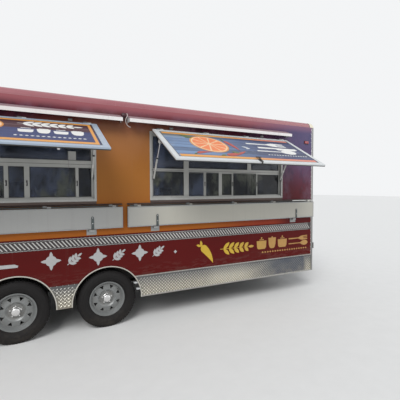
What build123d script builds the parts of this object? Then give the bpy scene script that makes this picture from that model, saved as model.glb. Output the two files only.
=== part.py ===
from build123d import *
import os
from math import atan2, cos, degrees, hypot, radians, sin

# Food concession trailer, millimetres
# X points forward to the coupler, Z up, and the serving side faces -Y
# The saved parts start at the centre of the tongue jack's foot, on the ground

# Box body
BODY_LENGTH = 6300
BODY_WIDTH = 2440
ROOF_TOP = 2730
EDGE_RADIUS = 80
WALL = 45
FLOOR_THICK = 40
FRAME_TOP = 580
SKIRT_BOTTOM = 320
SKIRT_LAP = 5
SKIRT_SHEET = 4
SKIRT_FLANGE = 25
GUARD_HEIGHT = 600

# Tyres and rims; the rim's stations run outwards from the wheel's middle plane
AXLE_SPACING = 965
FRONT_AXLE_X = -204
TYRE_RADIUS = 344
TYRE_WIDTH = 205
TYRE_SQUASH = 4
TYRE_INSET = 30
SHOULDER_DROP = 22
SHOULDER_IN = 30
SHOULDER_OUT = 12
SIDEWALL_BULGE = 55
RIM_RADIUS = 207
RIM_WIDTH = 156
RIM_LIP = 8
RIM_FLANGE = 17
RIM_SHEET = 6
DROP_DEPTH = 24
DISC_BORE = 30
DISC_THICK = 8
DISC_FLAT = 78
DISC_CROWN = 104
DISC_DISH = 20
DISH_DEPTH = 34
WINDOW_COUNT = 8
WINDOW_HALF = 25
WINDOW_DEPTH = 42
HUB_RADIUS = 62
HUB_CAP = 40
DRUM_RADIUS = 105
DRUM_WIDTH = 60
HUB_GAP = 10

# Axles
AXLE_TUBE = 80
AXLE_PROUD = 25
ARM_LENGTH = 150
ARM_THICK = 26
ARM_HEIGHT = 64
ARM_BOSS = 44
SPINDLE = 22
SPINDLE_SHORT = 10
SPINDLE_END_GAP = 6

# Arches and wheel boxes
ARCH_GAP = 55
BOX_CLEAR = 90
BOX_GAP = 35
BOX_END = 10
BOX_SHEET = 5

# Frame
RAIL_GAP = 105
RAIL_HEIGHT = 150
RAIL_WIDTH = 60
RAIL_WEB = 8
CROSS_COUNT = 9
CROSS_HEIGHT = 100
CROSS_WIDTH = 50
POST_CLEAR = 5

# Tongue and ball coupler
TONGUE_LENGTH = 1230
TONGUE_HEIGHT = 125
TONGUE_WIDTH = 60
TONGUE_ROOT = 800
TIP_LAP = 110
COUPLER_WIDTH = 90
COUPLER_LENGTH = 300
COUPLER_NOSE = 60
COUPLER_LIFT = 30
COUPLER_RISE = 20
BALL_BORE = 30
BALL_DEPTH = 55
LATCH_LENGTH = 100
LATCH_WIDTH = 28
LATCH_HEIGHT = 34
LEVER_LENGTH = 130
LEVER_TILT = 18

# Tongue jack
JACK_AHEAD = 810
JACK_TUBE = 30
JACK_LEG = 24
JACK_TOP = 900
JACK_TRAVEL = 300
JACK_LEG_TOP = 560
JACK_FOOT = 80
JACK_FOOT_THICK = 10
JACK_PLATE = 12
JACK_PLATE_LENGTH = 110
CRANK_REACH = 158
CRANK_ROD = 10
CRANK_KNOB = 86

# Gas cylinders and their tray
CYLINDER_AHEAD = 290
CYLINDER_RADIUS = 152
CYLINDER_HEIGHT = 540
CYLINDER_GAP = 23
CYLINDER_ROUND = 70
CYLINDER_FOOT = 30
COLLAR_RADIUS = 105
COLLAR_HEIGHT = 120
COLLAR_SHEET = 6
VALVE_RADIUS = 16
VALVE_HEIGHT = 70
TRAY_LENGTH = 420
TRAY_THICK = 10

# Windows; the posts run from sill to head, the mullions end at the transom
WINDOW_X = 1388
WINDOW_WIDTH = 2100
WINDOW_HEIGHT = 828
WINDOW_BOTTOM = 1539
WINDOW_FLANGE = 16
FLANGE_PROUD = 5
LINER = 10
LINER_SHORT = 10
SASH_RECESS = 30
SASH_DEPTH = 25
SASH = 26
GLASS = 5
TRANSOM_RISE = 369

# Bay, first and last edge of the upright from the bay's middle
POSTS = (
    ("front", -588, -516),
    ("front", 433, 497),
)
MULLIONS = (
    ("front", -294, -254),
    ("front", -54, -2),
    ("front", 160, 186),
    ("front", 587, 612),
    ("rear", -512, -472),
    ("rear", 142, 182),
    ("rear", 328, 378),
    ("rear", 842, 874),
)
# Bay, first and last edge from the bay's middle, reach below and above the transom line
TRANSOMS = (
    ("front", -1040, -588, 18, 18),
    ("front", -516, 1040, 32, 30),
    ("rear", -1040, 1040, 0, 80),
)

# Hatches over the windows
HATCH_LAP = 10
HATCH_BELOW = 5
HATCH_ABOVE = 31
HATCH_THICK = 25
HATCH_PROUD = 90
HATCH_SKIN = 5
HATCH_RAIL = 62
HATCH_HINGE_COUNT = 4
HATCH_HINGE_INSET = 60

# Gas struts that hold the hatches
STRUT_FOOT_DROP = 598
STRUT_FOOT_PROUD = 6
STRUT_INSET = 24
STRUT_REACH = 225
STRUT_EAR_PROUD = 14
STRUT_TUBE = 11
STRUT_ROD = 5
STRUT_HEAD = 83
STRUT_TAIL = 73
STRUT_BORE_START = 20
EYE_RADIUS = 11
EYE_WIDTH = 12
EAR_THICK = 6
EAR_HALF = 22
EAR_TIP = 12
FOOT_PLATE = 5
FOOT_PLATE_HALF = 25
FOOT_PLATE_OUT = 12
FOOT_PLATE_IN = 36

# Fold-up shelves and their catch brackets
SHELF_INNER_X = 30
SHELF_BELOW = 75
SHELF_HEIGHT = 248
SHELF_THICK = 30
SHELF_PROUD = 46
SHELF_HINGE_COUNT = 5
SHELF_HINGE_INSET = 80
SHELF_TAIL = 18
BRACKET_INNER = 355
BRACKET_OUTER = 405
BRACKET_WIDTH = 110
BRACKET_HEIGHT = 62
BRACKET_SHEET = 6
CATCH_WIDTH = 60
CATCH_HEIGHT = 22

# Rain gutters over the hatches
GUTTER_INNER_X = 41
GUTTER_PAST = 78
GUTTER_RISE = 146
GUTTER_PROUD = 140
GUTTER_DROP = 54
GUTTER_LIP = 40
GUTTER_SHEET = 5

# Hinge barrels, pins and running clearances
BARREL = 8
PIN = 4
PIN_CLEAR = 0.3
KNUCKLE = 40
KNUCKLE_GAP = 2
KNUCKLE_LEAF = 5
MOVING_CLEAR = 6

# Rear door
DOOR_WIDTH = 760
DOOR_HEIGHT = 1900
DOOR_SILL = 20
DOOR_GAP = 6
DOOR_PROUD = 6
DOOR_HINGE_COUNT = 3
DOOR_HINGE_INSET = 130
DOOR_LEAF = 60
DOOR_TAIL = 50
HANDLE_INSET = 70
HANDLE_RISE = 950
HANDLE_LENGTH = 120
HANDLE_REACH = 52
HANDLE_ROD = 10
LOCK_PLATE_WIDTH = 60
LOCK_PLATE_HEIGHT = 160

# Rear bumper, entry step and blank number plate
BUMPER_BACK = 120
BUMPER_BAR = 60
BUMPER_DROP = 30
BUMPER_HEIGHT = 100
STEP_HALF = 330
STEP_OUT = 240
STEP_SHEET = 12
STEP_KERB = 40
STEP_TOP = 312
PLATE_Y = 712
PLATE_LENGTH = 305
PLATE_HEIGHT = 152
PLATE_THICK = 5

# Lamps
MARKER_LENGTH = 75
MARKER_HEIGHT = 38
MARKER_DEPTH = 18
MARKER_INSET = 209
MARKER_DROP = 245
NOSE_MARKER_INSET = 240
NOSE_MARKER_DROP = 170
TAIL_LAMP_RADIUS = 55
TAIL_LAMP_DEPTH = 22
TAIL_LAMP_INSET = 100
TAIL_LAMP_RISES = (180, 310)

# Round fitting between the gutters
KNOB_X = -8
KNOB_DROP = 8
KNOB_BASE = 26
KNOB_RADIUS = 32
KNOB_PROUD = 34
HOOK_ROD = 4
HOOK_SWING = 40
HOOK_DROP = 136

# Roof fittings
LID_INSET_X = 320
LID_INSET_Y = 580
LID_SIZE = 420
LID_HEIGHT = 90
LID_BEVEL = 30
FAN_X = -300
FAN_Y = 300
FAN_BASE = 460
FAN_BASE_HEIGHT = 100
FAN_NECK = 190
FAN_NECK_HEIGHT = 70
FAN_HEAD = 260
FAN_HEAD_HEIGHT = 80

# Kitchen pieces that show through the windows
COUNTER_END = 205
COUNTER_DEPTH = 460
COUNTER_THICK = 40
COUNTER_BELOW = 49
COUNTER_LEG = 40
COUNTER_LEG_DEPTH = 180
COUNTER_LEG_COUNT = 5
COOK_FRONT = 1600
COOK_REAR = 2000
COOK_DEPTH = 620
COOK_TOP = 1520
COOK_GAP = 20
COOK_PANEL = 40
FRIDGE_END = 205
FRIDGE_WIDTH = 800
FRIDGE_DEPTH = 700
FRIDGE_TOP = 2450
HOOD_FRONT = 1500
HOOD_REAR = 1900
HOOD_DEPTH = 760
HOOD_TOP_DEPTH = 420
HOOD_BOTTOM = 2180
HOOD_LIP = 100
HOOD_BELOW_ROOF = 90

# Values worked out from the driving dimensions
HALF_LENGTH = BODY_LENGTH / 2
HALF_WIDTH = BODY_WIDTH / 2
WALL_TOP = ROOF_TOP - EDGE_RADIUS
FLOOR_TOP = FRAME_TOP + FLOOR_THICK
STRAIGHT_X = HALF_LENGTH - EDGE_RADIUS
STRAIGHT_Y = HALF_WIDTH - EDGE_RADIUS
INNER_RADIUS = EDGE_RADIUS - WALL
INSIDE_X = HALF_LENGTH - WALL
INSIDE_Y = HALF_WIDTH - WALL
REAR_AXLE_X = FRONT_AXLE_X - AXLE_SPACING
AXLE_XS = (FRONT_AXLE_X, REAR_AXLE_X)
WHEEL_CENTRE_Z = TYRE_RADIUS - TYRE_SQUASH
ARCH_RADIUS = TYRE_RADIUS + ARCH_GAP
TYRE_Y = HALF_WIDTH - TYRE_INSET - TYRE_WIDTH / 2
TYRE_INNER_Y = TYRE_Y - TYRE_WIDTH / 2
BEAD_SEAT = RIM_RADIUS - RIM_FLANGE
DROP_RADIUS = BEAD_SEAT - DROP_DEPTH
BOX_INNER_Y = TYRE_INNER_Y - BOX_GAP
BOX_TOP = WHEEL_CENTRE_Z + TYRE_RADIUS + BOX_CLEAR
BOX_FRONT = FRONT_AXLE_X + ARCH_RADIUS + BOX_END
BOX_REAR = REAR_AXLE_X - ARCH_RADIUS - BOX_END
RAIL_OUTER = TYRE_INNER_Y - RAIL_GAP
RAIL_INNER = RAIL_OUTER - RAIL_WIDTH
RAIL_BOTTOM = FRAME_TOP - RAIL_HEIGHT
AXLE_TUBE_END = RAIL_OUTER + AXLE_PROUD
BEAM_TOP = FRAME_TOP - CROSS_HEIGHT
BEAM_BOTTOM = BEAM_TOP - TONGUE_HEIGHT
COUPLER_FRONT = HALF_LENGTH + TONGUE_LENGTH
COUPLER_REAR = COUPLER_FRONT - COUPLER_LENGTH
BALL_X = COUPLER_FRONT - COUPLER_NOSE
JACK_X = HALF_LENGTH + JACK_AHEAD
JACK_TUBE_BOTTOM = JACK_FOOT_THICK + JACK_LEG + JACK_TRAVEL + MOVING_CLEAR
CYLINDER_X = HALF_LENGTH + CYLINDER_AHEAD
HATCH_AXIS_Z = WINDOW_BOTTOM + WINDOW_HEIGHT + HATCH_ABOVE
HATCH_HALF = WINDOW_WIDTH / 2 + HATCH_LAP
HATCH_TOP = HATCH_AXIS_Z - BARREL - KNUCKLE_GAP
HATCH_BOTTOM = WINDOW_BOTTOM - HATCH_BELOW
STRUT_FOOT_Z = HATCH_AXIS_Z - STRUT_FOOT_DROP
SHELF_OUTER_X = STRAIGHT_X
SHELF_AXIS_Z = WINDOW_BOTTOM - SHELF_BELOW
SHELF_TOP = SHELF_AXIS_Z - BARREL - KNUCKLE_GAP - 2
SHELF_PIN_PROUD = SHELF_PROUD - SHELF_THICK / 2
GUTTER_TOP = HATCH_AXIS_Z + GUTTER_RISE
GUTTER_OUTER_X = WINDOW_X + WINDOW_WIDTH / 2 + GUTTER_PAST

# Each serving bay: name, side along X (1 front, -1 rear), hatch opening angle in degrees
BAYS = (
    ("front", 1, 60.5),
    ("rear", -1, 65.5),
)


def block(x0, x1, y0, y1, z0, z1):
    centre = Pos((x0 + x1) / 2, (y0 + y1) / 2, (z0 + z1) / 2)
    return centre * Box(x1 - x0, y1 - y0, z1 - z0)


def rod_x(x0, x1, y, z, radius):
    return Pos((x0 + x1) / 2, y, z) * Rot(0, 90, 0) * Cylinder(radius, x1 - x0)


def rod_y(x, y0, y1, z, radius):
    return Pos(x, (y0 + y1) / 2, z) * Rot(90, 0, 0) * Cylinder(radius, y1 - y0)


def rod_z(x, y, z0, z1, radius):
    return Pos(x, y, (z0 + z1) / 2) * Cylinder(radius, z1 - z0)


def prism_x(points, x0, x1):
    """Closed outline of (y, z) points, extruded from x0 to x1."""
    face = Plane.YZ * make_face(Polyline(*points, close=True))
    return Pos(x0, 0, 0) * extrude(face, x1 - x0, dir=(1, 0, 0))


def mirror_y(shape):
    return mirror(shape, about=Plane.XZ)


# The pieces are drawn from the middle of the body, and saved from the jack's foot
def save(node, *shapes):
    moved = [Pos(-JACK_X, 0, 0) * shape for shape in shapes]
    whole = moved[0] if len(moved) == 1 else Compound(children=moved)
    export_step(whole, f"parts/{node}.step")


def bay_centre(side):
    return side * WINDOW_X


def quarter_ring(outer, inner):
    """Quarter of a ring in the XY plane, in the quadrant +X +Y."""
    disc = Circle(outer) - Circle(inner)
    return disc & Pos(outer, outer) * Rectangle(2 * outer, 2 * outer)


def hinge_starts(low, high, count):
    """Starts of evenly spaced hinges, each two knuckles long, between low and high."""
    step = (high - low - 2 * KNUCKLE) / (count - 1)
    return [low + step * index for index in range(count)]


# Main rails: two channels that carry the floor, open towards the outside
def make_rails():
    rail = block(-HALF_LENGTH, HALF_LENGTH, RAIL_INNER, RAIL_OUTER, RAIL_BOTTOM, FRAME_TOP)
    low = RAIL_BOTTOM + RAIL_WEB
    high = FRAME_TOP - RAIL_WEB
    rail -= block(-HALF_LENGTH - 1, HALF_LENGTH + 1, RAIL_INNER + RAIL_WEB, RAIL_OUTER + 1, low, high)
    save("chassis_rails", rail, mirror_y(rail))


# Cross members between the rails and the outriggers beside them
def cross_positions():
    first = -HALF_LENGTH + EDGE_RADIUS + CROSS_WIDTH / 2 + POST_CLEAR
    step = -2 * first / (CROSS_COUNT - 1)
    return [first + step * index for index in range(CROSS_COUNT)]


def make_crossmembers():
    solids = []
    bottom = FRAME_TOP - CROSS_HEIGHT
    for x in cross_positions():
        x0 = x - CROSS_WIDTH / 2
        x1 = x + CROSS_WIDTH / 2
        solids.append(block(x0, x1, -RAIL_INNER, RAIL_INNER, bottom, FRAME_TOP))
        beside_wheels = BOX_REAR - CROSS_WIDTH < x < BOX_FRONT + CROSS_WIDTH
        if not beside_wheels:
            outrigger = block(x0, x1, RAIL_OUTER, HALF_WIDTH, bottom, FRAME_TOP)
            solids.append(outrigger)
            solids.append(mirror_y(outrigger))
    save("crossmembers", *solids)


# Tongue: two converging tubes below the front of the frame
TONGUE_ROOT_X = HALF_LENGTH - TONGUE_ROOT
TONGUE_ROOT_Y = RAIL_INNER - TONGUE_WIDTH
TONGUE_TIP_X = COUPLER_REAR + TIP_LAP
TONGUE_TIP_Y = COUPLER_WIDTH / 2


def beam_outer(x):
    """Distance of a beam's outer side from the middle at this x."""
    slope = (TONGUE_TIP_Y - TONGUE_ROOT_Y) / (TONGUE_TIP_X - TONGUE_ROOT_X)
    return TONGUE_ROOT_Y + slope * (x - TONGUE_ROOT_X) + TONGUE_WIDTH


def make_tongue():
    outline = Polyline(
        (TONGUE_ROOT_X, TONGUE_ROOT_Y),
        (TONGUE_TIP_X, TONGUE_TIP_Y),
        (TONGUE_TIP_X, TONGUE_TIP_Y + TONGUE_WIDTH),
        (TONGUE_ROOT_X, TONGUE_ROOT_Y + TONGUE_WIDTH),
        close=True,
    )
    beam = Pos(0, 0, BEAM_BOTTOM) * extrude(make_face(outline), TONGUE_HEIGHT)
    save("tongue", beam, mirror_y(beam))


# Ball coupler between the beam tips, open below for the ball, with its latch lever
def make_coupler():
    half = COUPLER_WIDTH / 2
    bottom = BEAM_BOTTOM + COUPLER_LIFT
    top = BEAM_TOP + COUPLER_RISE
    body = block(COUPLER_REAR, BALL_X, -half, half, bottom, top)
    body += rod_z(BALL_X, 0, bottom, top, COUPLER_NOSE)
    body -= rod_z(BALL_X, 0, bottom - 1, bottom + BALL_DEPTH, BALL_BORE)
    latch_x = (COUPLER_REAR + TIP_LAP + BALL_X) / 2
    latch_top = top + LATCH_HEIGHT
    latch0 = latch_x - LATCH_LENGTH / 2
    latch1 = latch_x + LATCH_LENGTH / 2
    body += block(latch0, latch1, -LATCH_WIDTH / 2, LATCH_WIDTH / 2, top, latch_top)
    lever = Box(LEVER_LENGTH, LATCH_WIDTH - 4, LATCH_HEIGHT / 3)
    body += Pos(latch0, 0, latch_top) * Rot(0, -LEVER_TILT, 0) * lever
    save("coupler", body)


# Tongue jack: outer tube on a plate across the beams, inner leg with a foot on the ground
def make_jack():
    plate_half = beam_outer(JACK_X)
    plate_top = BEAM_TOP + JACK_PLATE
    plate0 = JACK_X - JACK_PLATE_LENGTH / 2
    plate1 = JACK_X + JACK_PLATE_LENGTH / 2
    cap_top = JACK_TOP + JACK_PLATE
    tube = rod_z(JACK_X, 0, JACK_TUBE_BOTTOM, JACK_TOP, JACK_TUBE)
    tube += block(plate0, plate1, -plate_half, plate_half, BEAM_TOP, plate_top)
    tube += rod_z(JACK_X, 0, JACK_TOP - 2 * JACK_TUBE, cap_top, JACK_TUBE + 8)
    tube += rod_z(JACK_X, 0, plate_top, plate_top + 2 * JACK_TUBE, JACK_TUBE + 6)
    tube -= rod_z(JACK_X, 0, JACK_TUBE_BOTTOM - 1, JACK_TOP, JACK_LEG + PIN_CLEAR)
    arm_z = cap_top + 2 * CRANK_ROD
    arm_top = arm_z + CRANK_ROD
    crank = rod_z(JACK_X, 0, cap_top, arm_z, CRANK_ROD)
    crank += block(JACK_X - 12, JACK_X + 12, -CRANK_REACH - 12, 12, arm_z, arm_top)
    crank += rod_z(JACK_X, -CRANK_REACH, arm_top, arm_top + CRANK_KNOB, CRANK_ROD + 3)
    save("jack_tube", tube + crank)
    leg = rod_z(JACK_X, 0, JACK_FOOT_THICK, JACK_LEG_TOP, JACK_LEG)
    leg += rod_z(JACK_X, 0, 0, JACK_FOOT_THICK, JACK_FOOT)
    leg += rod_z(JACK_X, 0, JACK_FOOT_THICK, JACK_FOOT_THICK + JACK_LEG, JACK_LEG + 10)
    save("jack_leg", leg)


# Torsion axles: a square tube below the rails, trailing arms and spindles
def make_axles():
    solids = []
    tube_z = RAIL_BOTTOM - AXLE_TUBE / 2
    rise = tube_z - WHEEL_CENTRE_Z
    slope = degrees(atan2(rise, ARM_LENGTH))
    span = hypot(ARM_LENGTH, rise)
    spindle_end = TYRE_Y - SPINDLE_SHORT
    arm_outer = AXLE_TUBE_END + ARM_THICK
    for x in AXLE_XS:
        tube_x = x + ARM_LENGTH
        tube0 = tube_x - AXLE_TUBE / 2
        tube1 = tube_x + AXLE_TUBE / 2
        axle = block(tube0, tube1, -AXLE_TUBE_END, AXLE_TUBE_END, RAIL_BOTTOM - AXLE_TUBE, RAIL_BOTTOM)
        arm = Pos(x + ARM_LENGTH / 2, AXLE_TUBE_END + ARM_THICK / 2, (tube_z + WHEEL_CENTRE_Z) / 2)
        arm = arm * Rot(0, -slope, 0) * Box(span, ARM_THICK, ARM_HEIGHT)
        arm += rod_y(tube_x, AXLE_TUBE_END, arm_outer, tube_z, ARM_BOSS)
        arm += rod_y(x, AXLE_TUBE_END, arm_outer, WHEEL_CENTRE_Z, ARM_BOSS)
        arm += rod_y(x, AXLE_TUBE_END, spindle_end, WHEEL_CENTRE_Z, SPINDLE)
        solids.append(axle + arm + mirror_y(arm))
    save("axles", *solids)


# Wheels: a modular steel rim with eight openings and a plain tyre
def ring_about_y(points):
    """Solid of revolution about Y from (y, radius) points."""
    face = make_face(Polyline(*[(radius, y) for y, radius in points], close=True))
    return revolve(face, Axis.Y)


def window_cutter():
    outer = DROP_RADIUS - DISC_THICK
    outline = Polyline((-WINDOW_HALF, outer), (WINDOW_HALF, outer), (0, outer - WINDOW_DEPTH), close=True)
    solid = extrude(make_face(outline), HUB_RADIUS, both=True)
    return Rot(90, 0, 0) * solid


def make_rim():
    half = RIM_WIDTH / 2
    inner_drop = -half + 40
    outer_drop = half - 62
    barrel = [
        (-half, RIM_RADIUS),
        (-half, BEAD_SEAT - RIM_SHEET),
        (inner_drop, DROP_RADIUS - RIM_SHEET),
        (outer_drop, DROP_RADIUS - RIM_SHEET),
        (half - 22, BEAD_SEAT - RIM_SHEET),
        (half, RIM_RADIUS - RIM_LIP),
        (half, RIM_RADIUS),
        (half - RIM_LIP, RIM_RADIUS),
        (half - RIM_LIP, BEAD_SEAT),
        (half - 34, BEAD_SEAT),
        (outer_drop, DROP_RADIUS),
        (inner_drop, DROP_RADIUS),
        (-half + RIM_LIP + RIM_SHEET, BEAD_SEAT),
        (-half + RIM_LIP, BEAD_SEAT),
        (-half + RIM_LIP, RIM_RADIUS),
    ]
    face_y = half - DISH_DEPTH
    flat_y = face_y - DISC_DISH
    crown_y = face_y - 2
    edge_y = face_y - 12
    disc_profile = [
        (flat_y, DISC_BORE),
        (flat_y, DISC_FLAT),
        (crown_y, DISC_CROWN),
        (edge_y, DROP_RADIUS + 8),
        (edge_y - DISC_THICK, DROP_RADIUS + 8),
        (crown_y - DISC_THICK, DISC_CROWN),
        (flat_y - DISC_THICK, DISC_FLAT),
        (flat_y - DISC_THICK, DISC_BORE),
    ]
    disc = ring_about_y(disc_profile)
    for index in range(WINDOW_COUNT):
        turn = Rot(0, 360 / WINDOW_COUNT * (index + 0.5), 0)
        disc -= turn * Pos(0, edge_y, 0) * window_cutter()
    hub_start = AXLE_TUBE_END + ARM_THICK - TYRE_Y + HUB_GAP
    drum_end = hub_start + DRUM_WIDTH
    hub = rod_y(0, hub_start, face_y + 22, 0, HUB_CAP)
    hub += rod_y(0, hub_start, drum_end, 0, DRUM_RADIUS)
    hub += rod_y(0, drum_end, flat_y - DISC_THICK + 2, 0, HUB_RADIUS)
    hub -= rod_y(0, hub_start - 1, SPINDLE_END_GAP - SPINDLE_SHORT, 0, SPINDLE + PIN_CLEAR)
    return ring_about_y(barrel) + disc + hub


def make_tyre():
    half = TYRE_WIDTH / 2
    bead = RIM_WIDTH / 2 - RIM_LIP - 0.5
    rim_touch = RIM_RADIUS + 2
    bulge = RIM_RADIUS + SIDEWALL_BULGE
    profile = [
        (-bead, BEAD_SEAT + PIN_CLEAR),
        (-bead, rim_touch),
        (-half, bulge),
        (-half + SHOULDER_OUT, TYRE_RADIUS - SHOULDER_DROP),
        (-half + SHOULDER_IN, TYRE_RADIUS),
        (half - SHOULDER_IN, TYRE_RADIUS),
        (half - SHOULDER_OUT, TYRE_RADIUS - SHOULDER_DROP),
        (half, bulge),
        (bead, rim_touch),
        (bead, BEAD_SEAT + PIN_CLEAR),
    ]
    return ring_about_y(profile)


def make_wheels():
    rim = make_rim()
    tyre = make_tyre()
    for axle_name, x in zip(("front", "rear"), AXLE_XS):
        for side_name, sign in (("street", 1), ("serving", -1)):
            turn = Rot(0, 0, 0) if sign > 0 else Rot(0, 0, 180)
            place = Pos(x, sign * TYRE_Y, WHEEL_CENTRE_Z) * turn
            save(f"rim_{axle_name}_{side_name}", place * rim)
            save(f"tyre_{axle_name}_{side_name}", place * tyre)


# Floor, with notches for the wheel boxes
def make_floor():
    floor = block(-INSIDE_X, INSIDE_X, -INSIDE_Y, INSIDE_Y, FRAME_TOP, FLOOR_TOP)
    floor = fillet(floor.edges().filter_by(Axis.Z), INNER_RADIUS)
    notch = block(BOX_REAR, BOX_FRONT, BOX_INNER_Y, HALF_WIDTH, FRAME_TOP - 1, FLOOR_TOP + 1)
    save("floor", floor - notch - mirror_y(notch))


# Wheel boxes: bent sheets inside the body over each pair of wheels
def make_wheel_boxes():
    box = block(BOX_REAR, BOX_FRONT, BOX_INNER_Y, INSIDE_Y, FRAME_TOP, BOX_TOP)
    x0 = BOX_REAR + BOX_SHEET
    x1 = BOX_FRONT - BOX_SHEET
    box -= block(x0, x1, BOX_INNER_Y + BOX_SHEET, INSIDE_Y + 1, FRAME_TOP - 1, BOX_TOP - BOX_SHEET)
    save("wheel_boxes", box, mirror_y(box))


# Side walls: flat panels with arch cuts, the serving side with two window openings
def arch_cut(x):
    outside = HALF_WIDTH + EDGE_RADIUS
    round_top = rod_y(x, 0, outside, WHEEL_CENTRE_Z, ARCH_RADIUS)
    return round_top + block(x - ARCH_RADIUS, x + ARCH_RADIUS, 0, outside, 0, WHEEL_CENTRE_Z)


def side_panel(thick, bottom, top, outer_y):
    panel = block(-STRAIGHT_X, STRAIGHT_X, outer_y - thick, outer_y, bottom, top)
    for x in AXLE_XS:
        panel -= arch_cut(x)
    return panel


def window_block(side, margin, y0, y1):
    """Block the size of a window opening, grown by margin."""
    centre = bay_centre(side)
    half = WINDOW_WIDTH / 2 + margin
    bottom = WINDOW_BOTTOM - margin
    top = WINDOW_BOTTOM + WINDOW_HEIGHT + margin
    return block(centre - half, centre + half, y0, y1, bottom, top)


def make_side_walls():
    wall = side_panel(WALL, FRAME_TOP, WALL_TOP, HALF_WIDTH)
    save("street_wall", wall)
    serving = mirror_y(wall)
    for name, side, opening in BAYS:
        serving -= window_block(side, 0, -HALF_WIDTH - 1, -INSIDE_Y + 1)
    save("serving_wall", serving)


# End walls, the rear one with the door opening
def make_end_walls():
    front = block(INSIDE_X, HALF_LENGTH, -STRAIGHT_Y, STRAIGHT_Y, FRAME_TOP, WALL_TOP)
    save("front_wall", front)
    rear = block(-HALF_LENGTH, -INSIDE_X, -STRAIGHT_Y, STRAIGHT_Y, FRAME_TOP, WALL_TOP)
    sill = FLOOR_TOP + DOOR_SILL
    half = DOOR_WIDTH / 2
    rear -= block(-HALF_LENGTH - 1, -INSIDE_X + 1, -half, half, sill, sill + DOOR_HEIGHT)
    save("rear_wall", rear)


# Roof: flat panel with quarter-round edges on all four sides
def make_roof():
    core = block(-STRAIGHT_X, STRAIGHT_X, -STRAIGHT_Y, STRAIGHT_Y, ROOF_TOP - WALL, ROOF_TOP)
    ring = quarter_ring(EDGE_RADIUS, INNER_RADIUS)
    side = extrude(Plane.YZ * ring, 2 * STRAIGHT_X)
    side_edge = Pos(-STRAIGHT_X, STRAIGHT_Y, WALL_TOP) * side
    end = extrude(Plane.XZ * ring, 2 * STRAIGHT_Y)
    end_edge = Pos(STRAIGHT_X, STRAIGHT_Y, WALL_TOP) * end
    roof = core + side_edge + mirror_y(side_edge)
    roof += end_edge
    roof += mirror(end_edge, about=Plane.YZ)
    save("roof", roof)


# Corner posts and their round cast caps
def make_corners():
    ring = quarter_ring(EDGE_RADIUS, INNER_RADIUS)
    post = Pos(STRAIGHT_X, STRAIGHT_Y, SKIRT_BOTTOM) * extrude(ring, WALL_TOP - SKIRT_BOTTOM)
    octant = block(0, EDGE_RADIUS, 0, EDGE_RADIUS, 0, EDGE_RADIUS)
    shell = Sphere(EDGE_RADIUS) - Sphere(INNER_RADIUS)
    cap = Pos(STRAIGHT_X, STRAIGHT_Y, WALL_TOP) * (shell & octant)
    for node, piece in (("corner_posts", post), ("corner_caps", cap)):
        rear = mirror(piece, about=Plane.YZ)
        save(node, piece, rear, mirror_y(piece), mirror_y(rear))


# Diamond-plate skirts below both side walls and a stone guard on the front wall
def make_skirts():
    top = FRAME_TOP + SKIRT_LAP
    outer = HALF_WIDTH + SKIRT_SHEET
    skirt = side_panel(SKIRT_SHEET, SKIRT_BOTTOM, top, outer)
    flange_top = SKIRT_BOTTOM + SKIRT_SHEET
    skirt += side_panel(SKIRT_FLANGE + SKIRT_SHEET, SKIRT_BOTTOM, flange_top, outer)
    guard_front = HALF_LENGTH + SKIRT_SHEET
    guard_top = FRAME_TOP + GUARD_HEIGHT
    guard = block(HALF_LENGTH, guard_front, -STRAIGHT_Y, STRAIGHT_Y, FRAME_TOP, guard_top)
    save("skirts", skirt, mirror_y(skirt), guard)


# Window frames: a liner with an outer flange, sash bars set back in it, and the panes
def make_windows():
    frames = []
    panes = []
    outer_y = -HALF_WIDTH - FLANGE_PROUD
    inner_y = -INSIDE_Y + LINER_SHORT
    sash_y0 = -HALF_WIDTH + SASH_RECESS
    sash_y1 = sash_y0 + SASH_DEPTH
    glass_y = (sash_y0 + sash_y1) / 2
    low = WINDOW_BOTTOM + LINER
    high = WINDOW_BOTTOM + WINDOW_HEIGHT - LINER
    transom_z = WINDOW_BOTTOM + TRANSOM_RISE
    for name, side, opening in BAYS:
        centre = bay_centre(side)
        frame = window_block(side, 0, outer_y, inner_y)
        frame += window_block(side, WINDOW_FLANGE, outer_y, -HALF_WIDTH)
        frame -= window_block(side, -LINER, outer_y - 1, inner_y + 1)
        sash = window_block(side, -LINER, sash_y0, sash_y1)
        frame += sash - window_block(side, -LINER - SASH, sash_y0 - 1, sash_y1 + 1)
        for uprights, top in ((POSTS, high), (MULLIONS, transom_z)):
            for bay, first, last in uprights:
                if bay == name:
                    frame += block(centre + first, centre + last, sash_y0, sash_y1, low, top)
        for bay, first, last, below, above in TRANSOMS:
            if bay == name:
                z0 = transom_z - below
                frame += block(centre + first, centre + last, sash_y0, sash_y1, z0, transom_z + above)
        frames.append(frame)
        whole = window_block(side, -LINER - 1, glass_y - GLASS / 2, glass_y + GLASS / 2)
        panes += list((whole - frame).solids())
    save("window_frames", *frames)
    save("window_glass", *panes)


# Hinge lugs along X: a fixed knuckle with its pin, and a moving knuckle beside it
def fixed_knuckle(x, proud, z, tail_z0, tail_z1):
    y = -HALF_WIDTH - proud
    knuckle = rod_x(x, x + KNUCKLE, y, z, BARREL)
    knuckle += block(x, x + KNUCKLE, y - BARREL / 2, -HALF_WIDTH, min(tail_z0, z), max(tail_z1, z))
    knuckle += rod_x(x, x + 2 * KNUCKLE, y, z, PIN)
    return knuckle


def moving_knuckle(x, proud, z, reach_z, y0, y1):
    y = -HALF_WIDTH - proud
    start = x + KNUCKLE + KNUCKLE_GAP
    end = x + 2 * KNUCKLE + KNUCKLE_GAP
    knuckle = rod_x(start, end, y, z, BARREL)
    knuckle += block(start, end, y0, y1, min(z, reach_z), max(z, reach_z))
    knuckle -= rod_x(start - 1, end + 1, y, z, PIN + PIN_CLEAR)
    return knuckle


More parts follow.
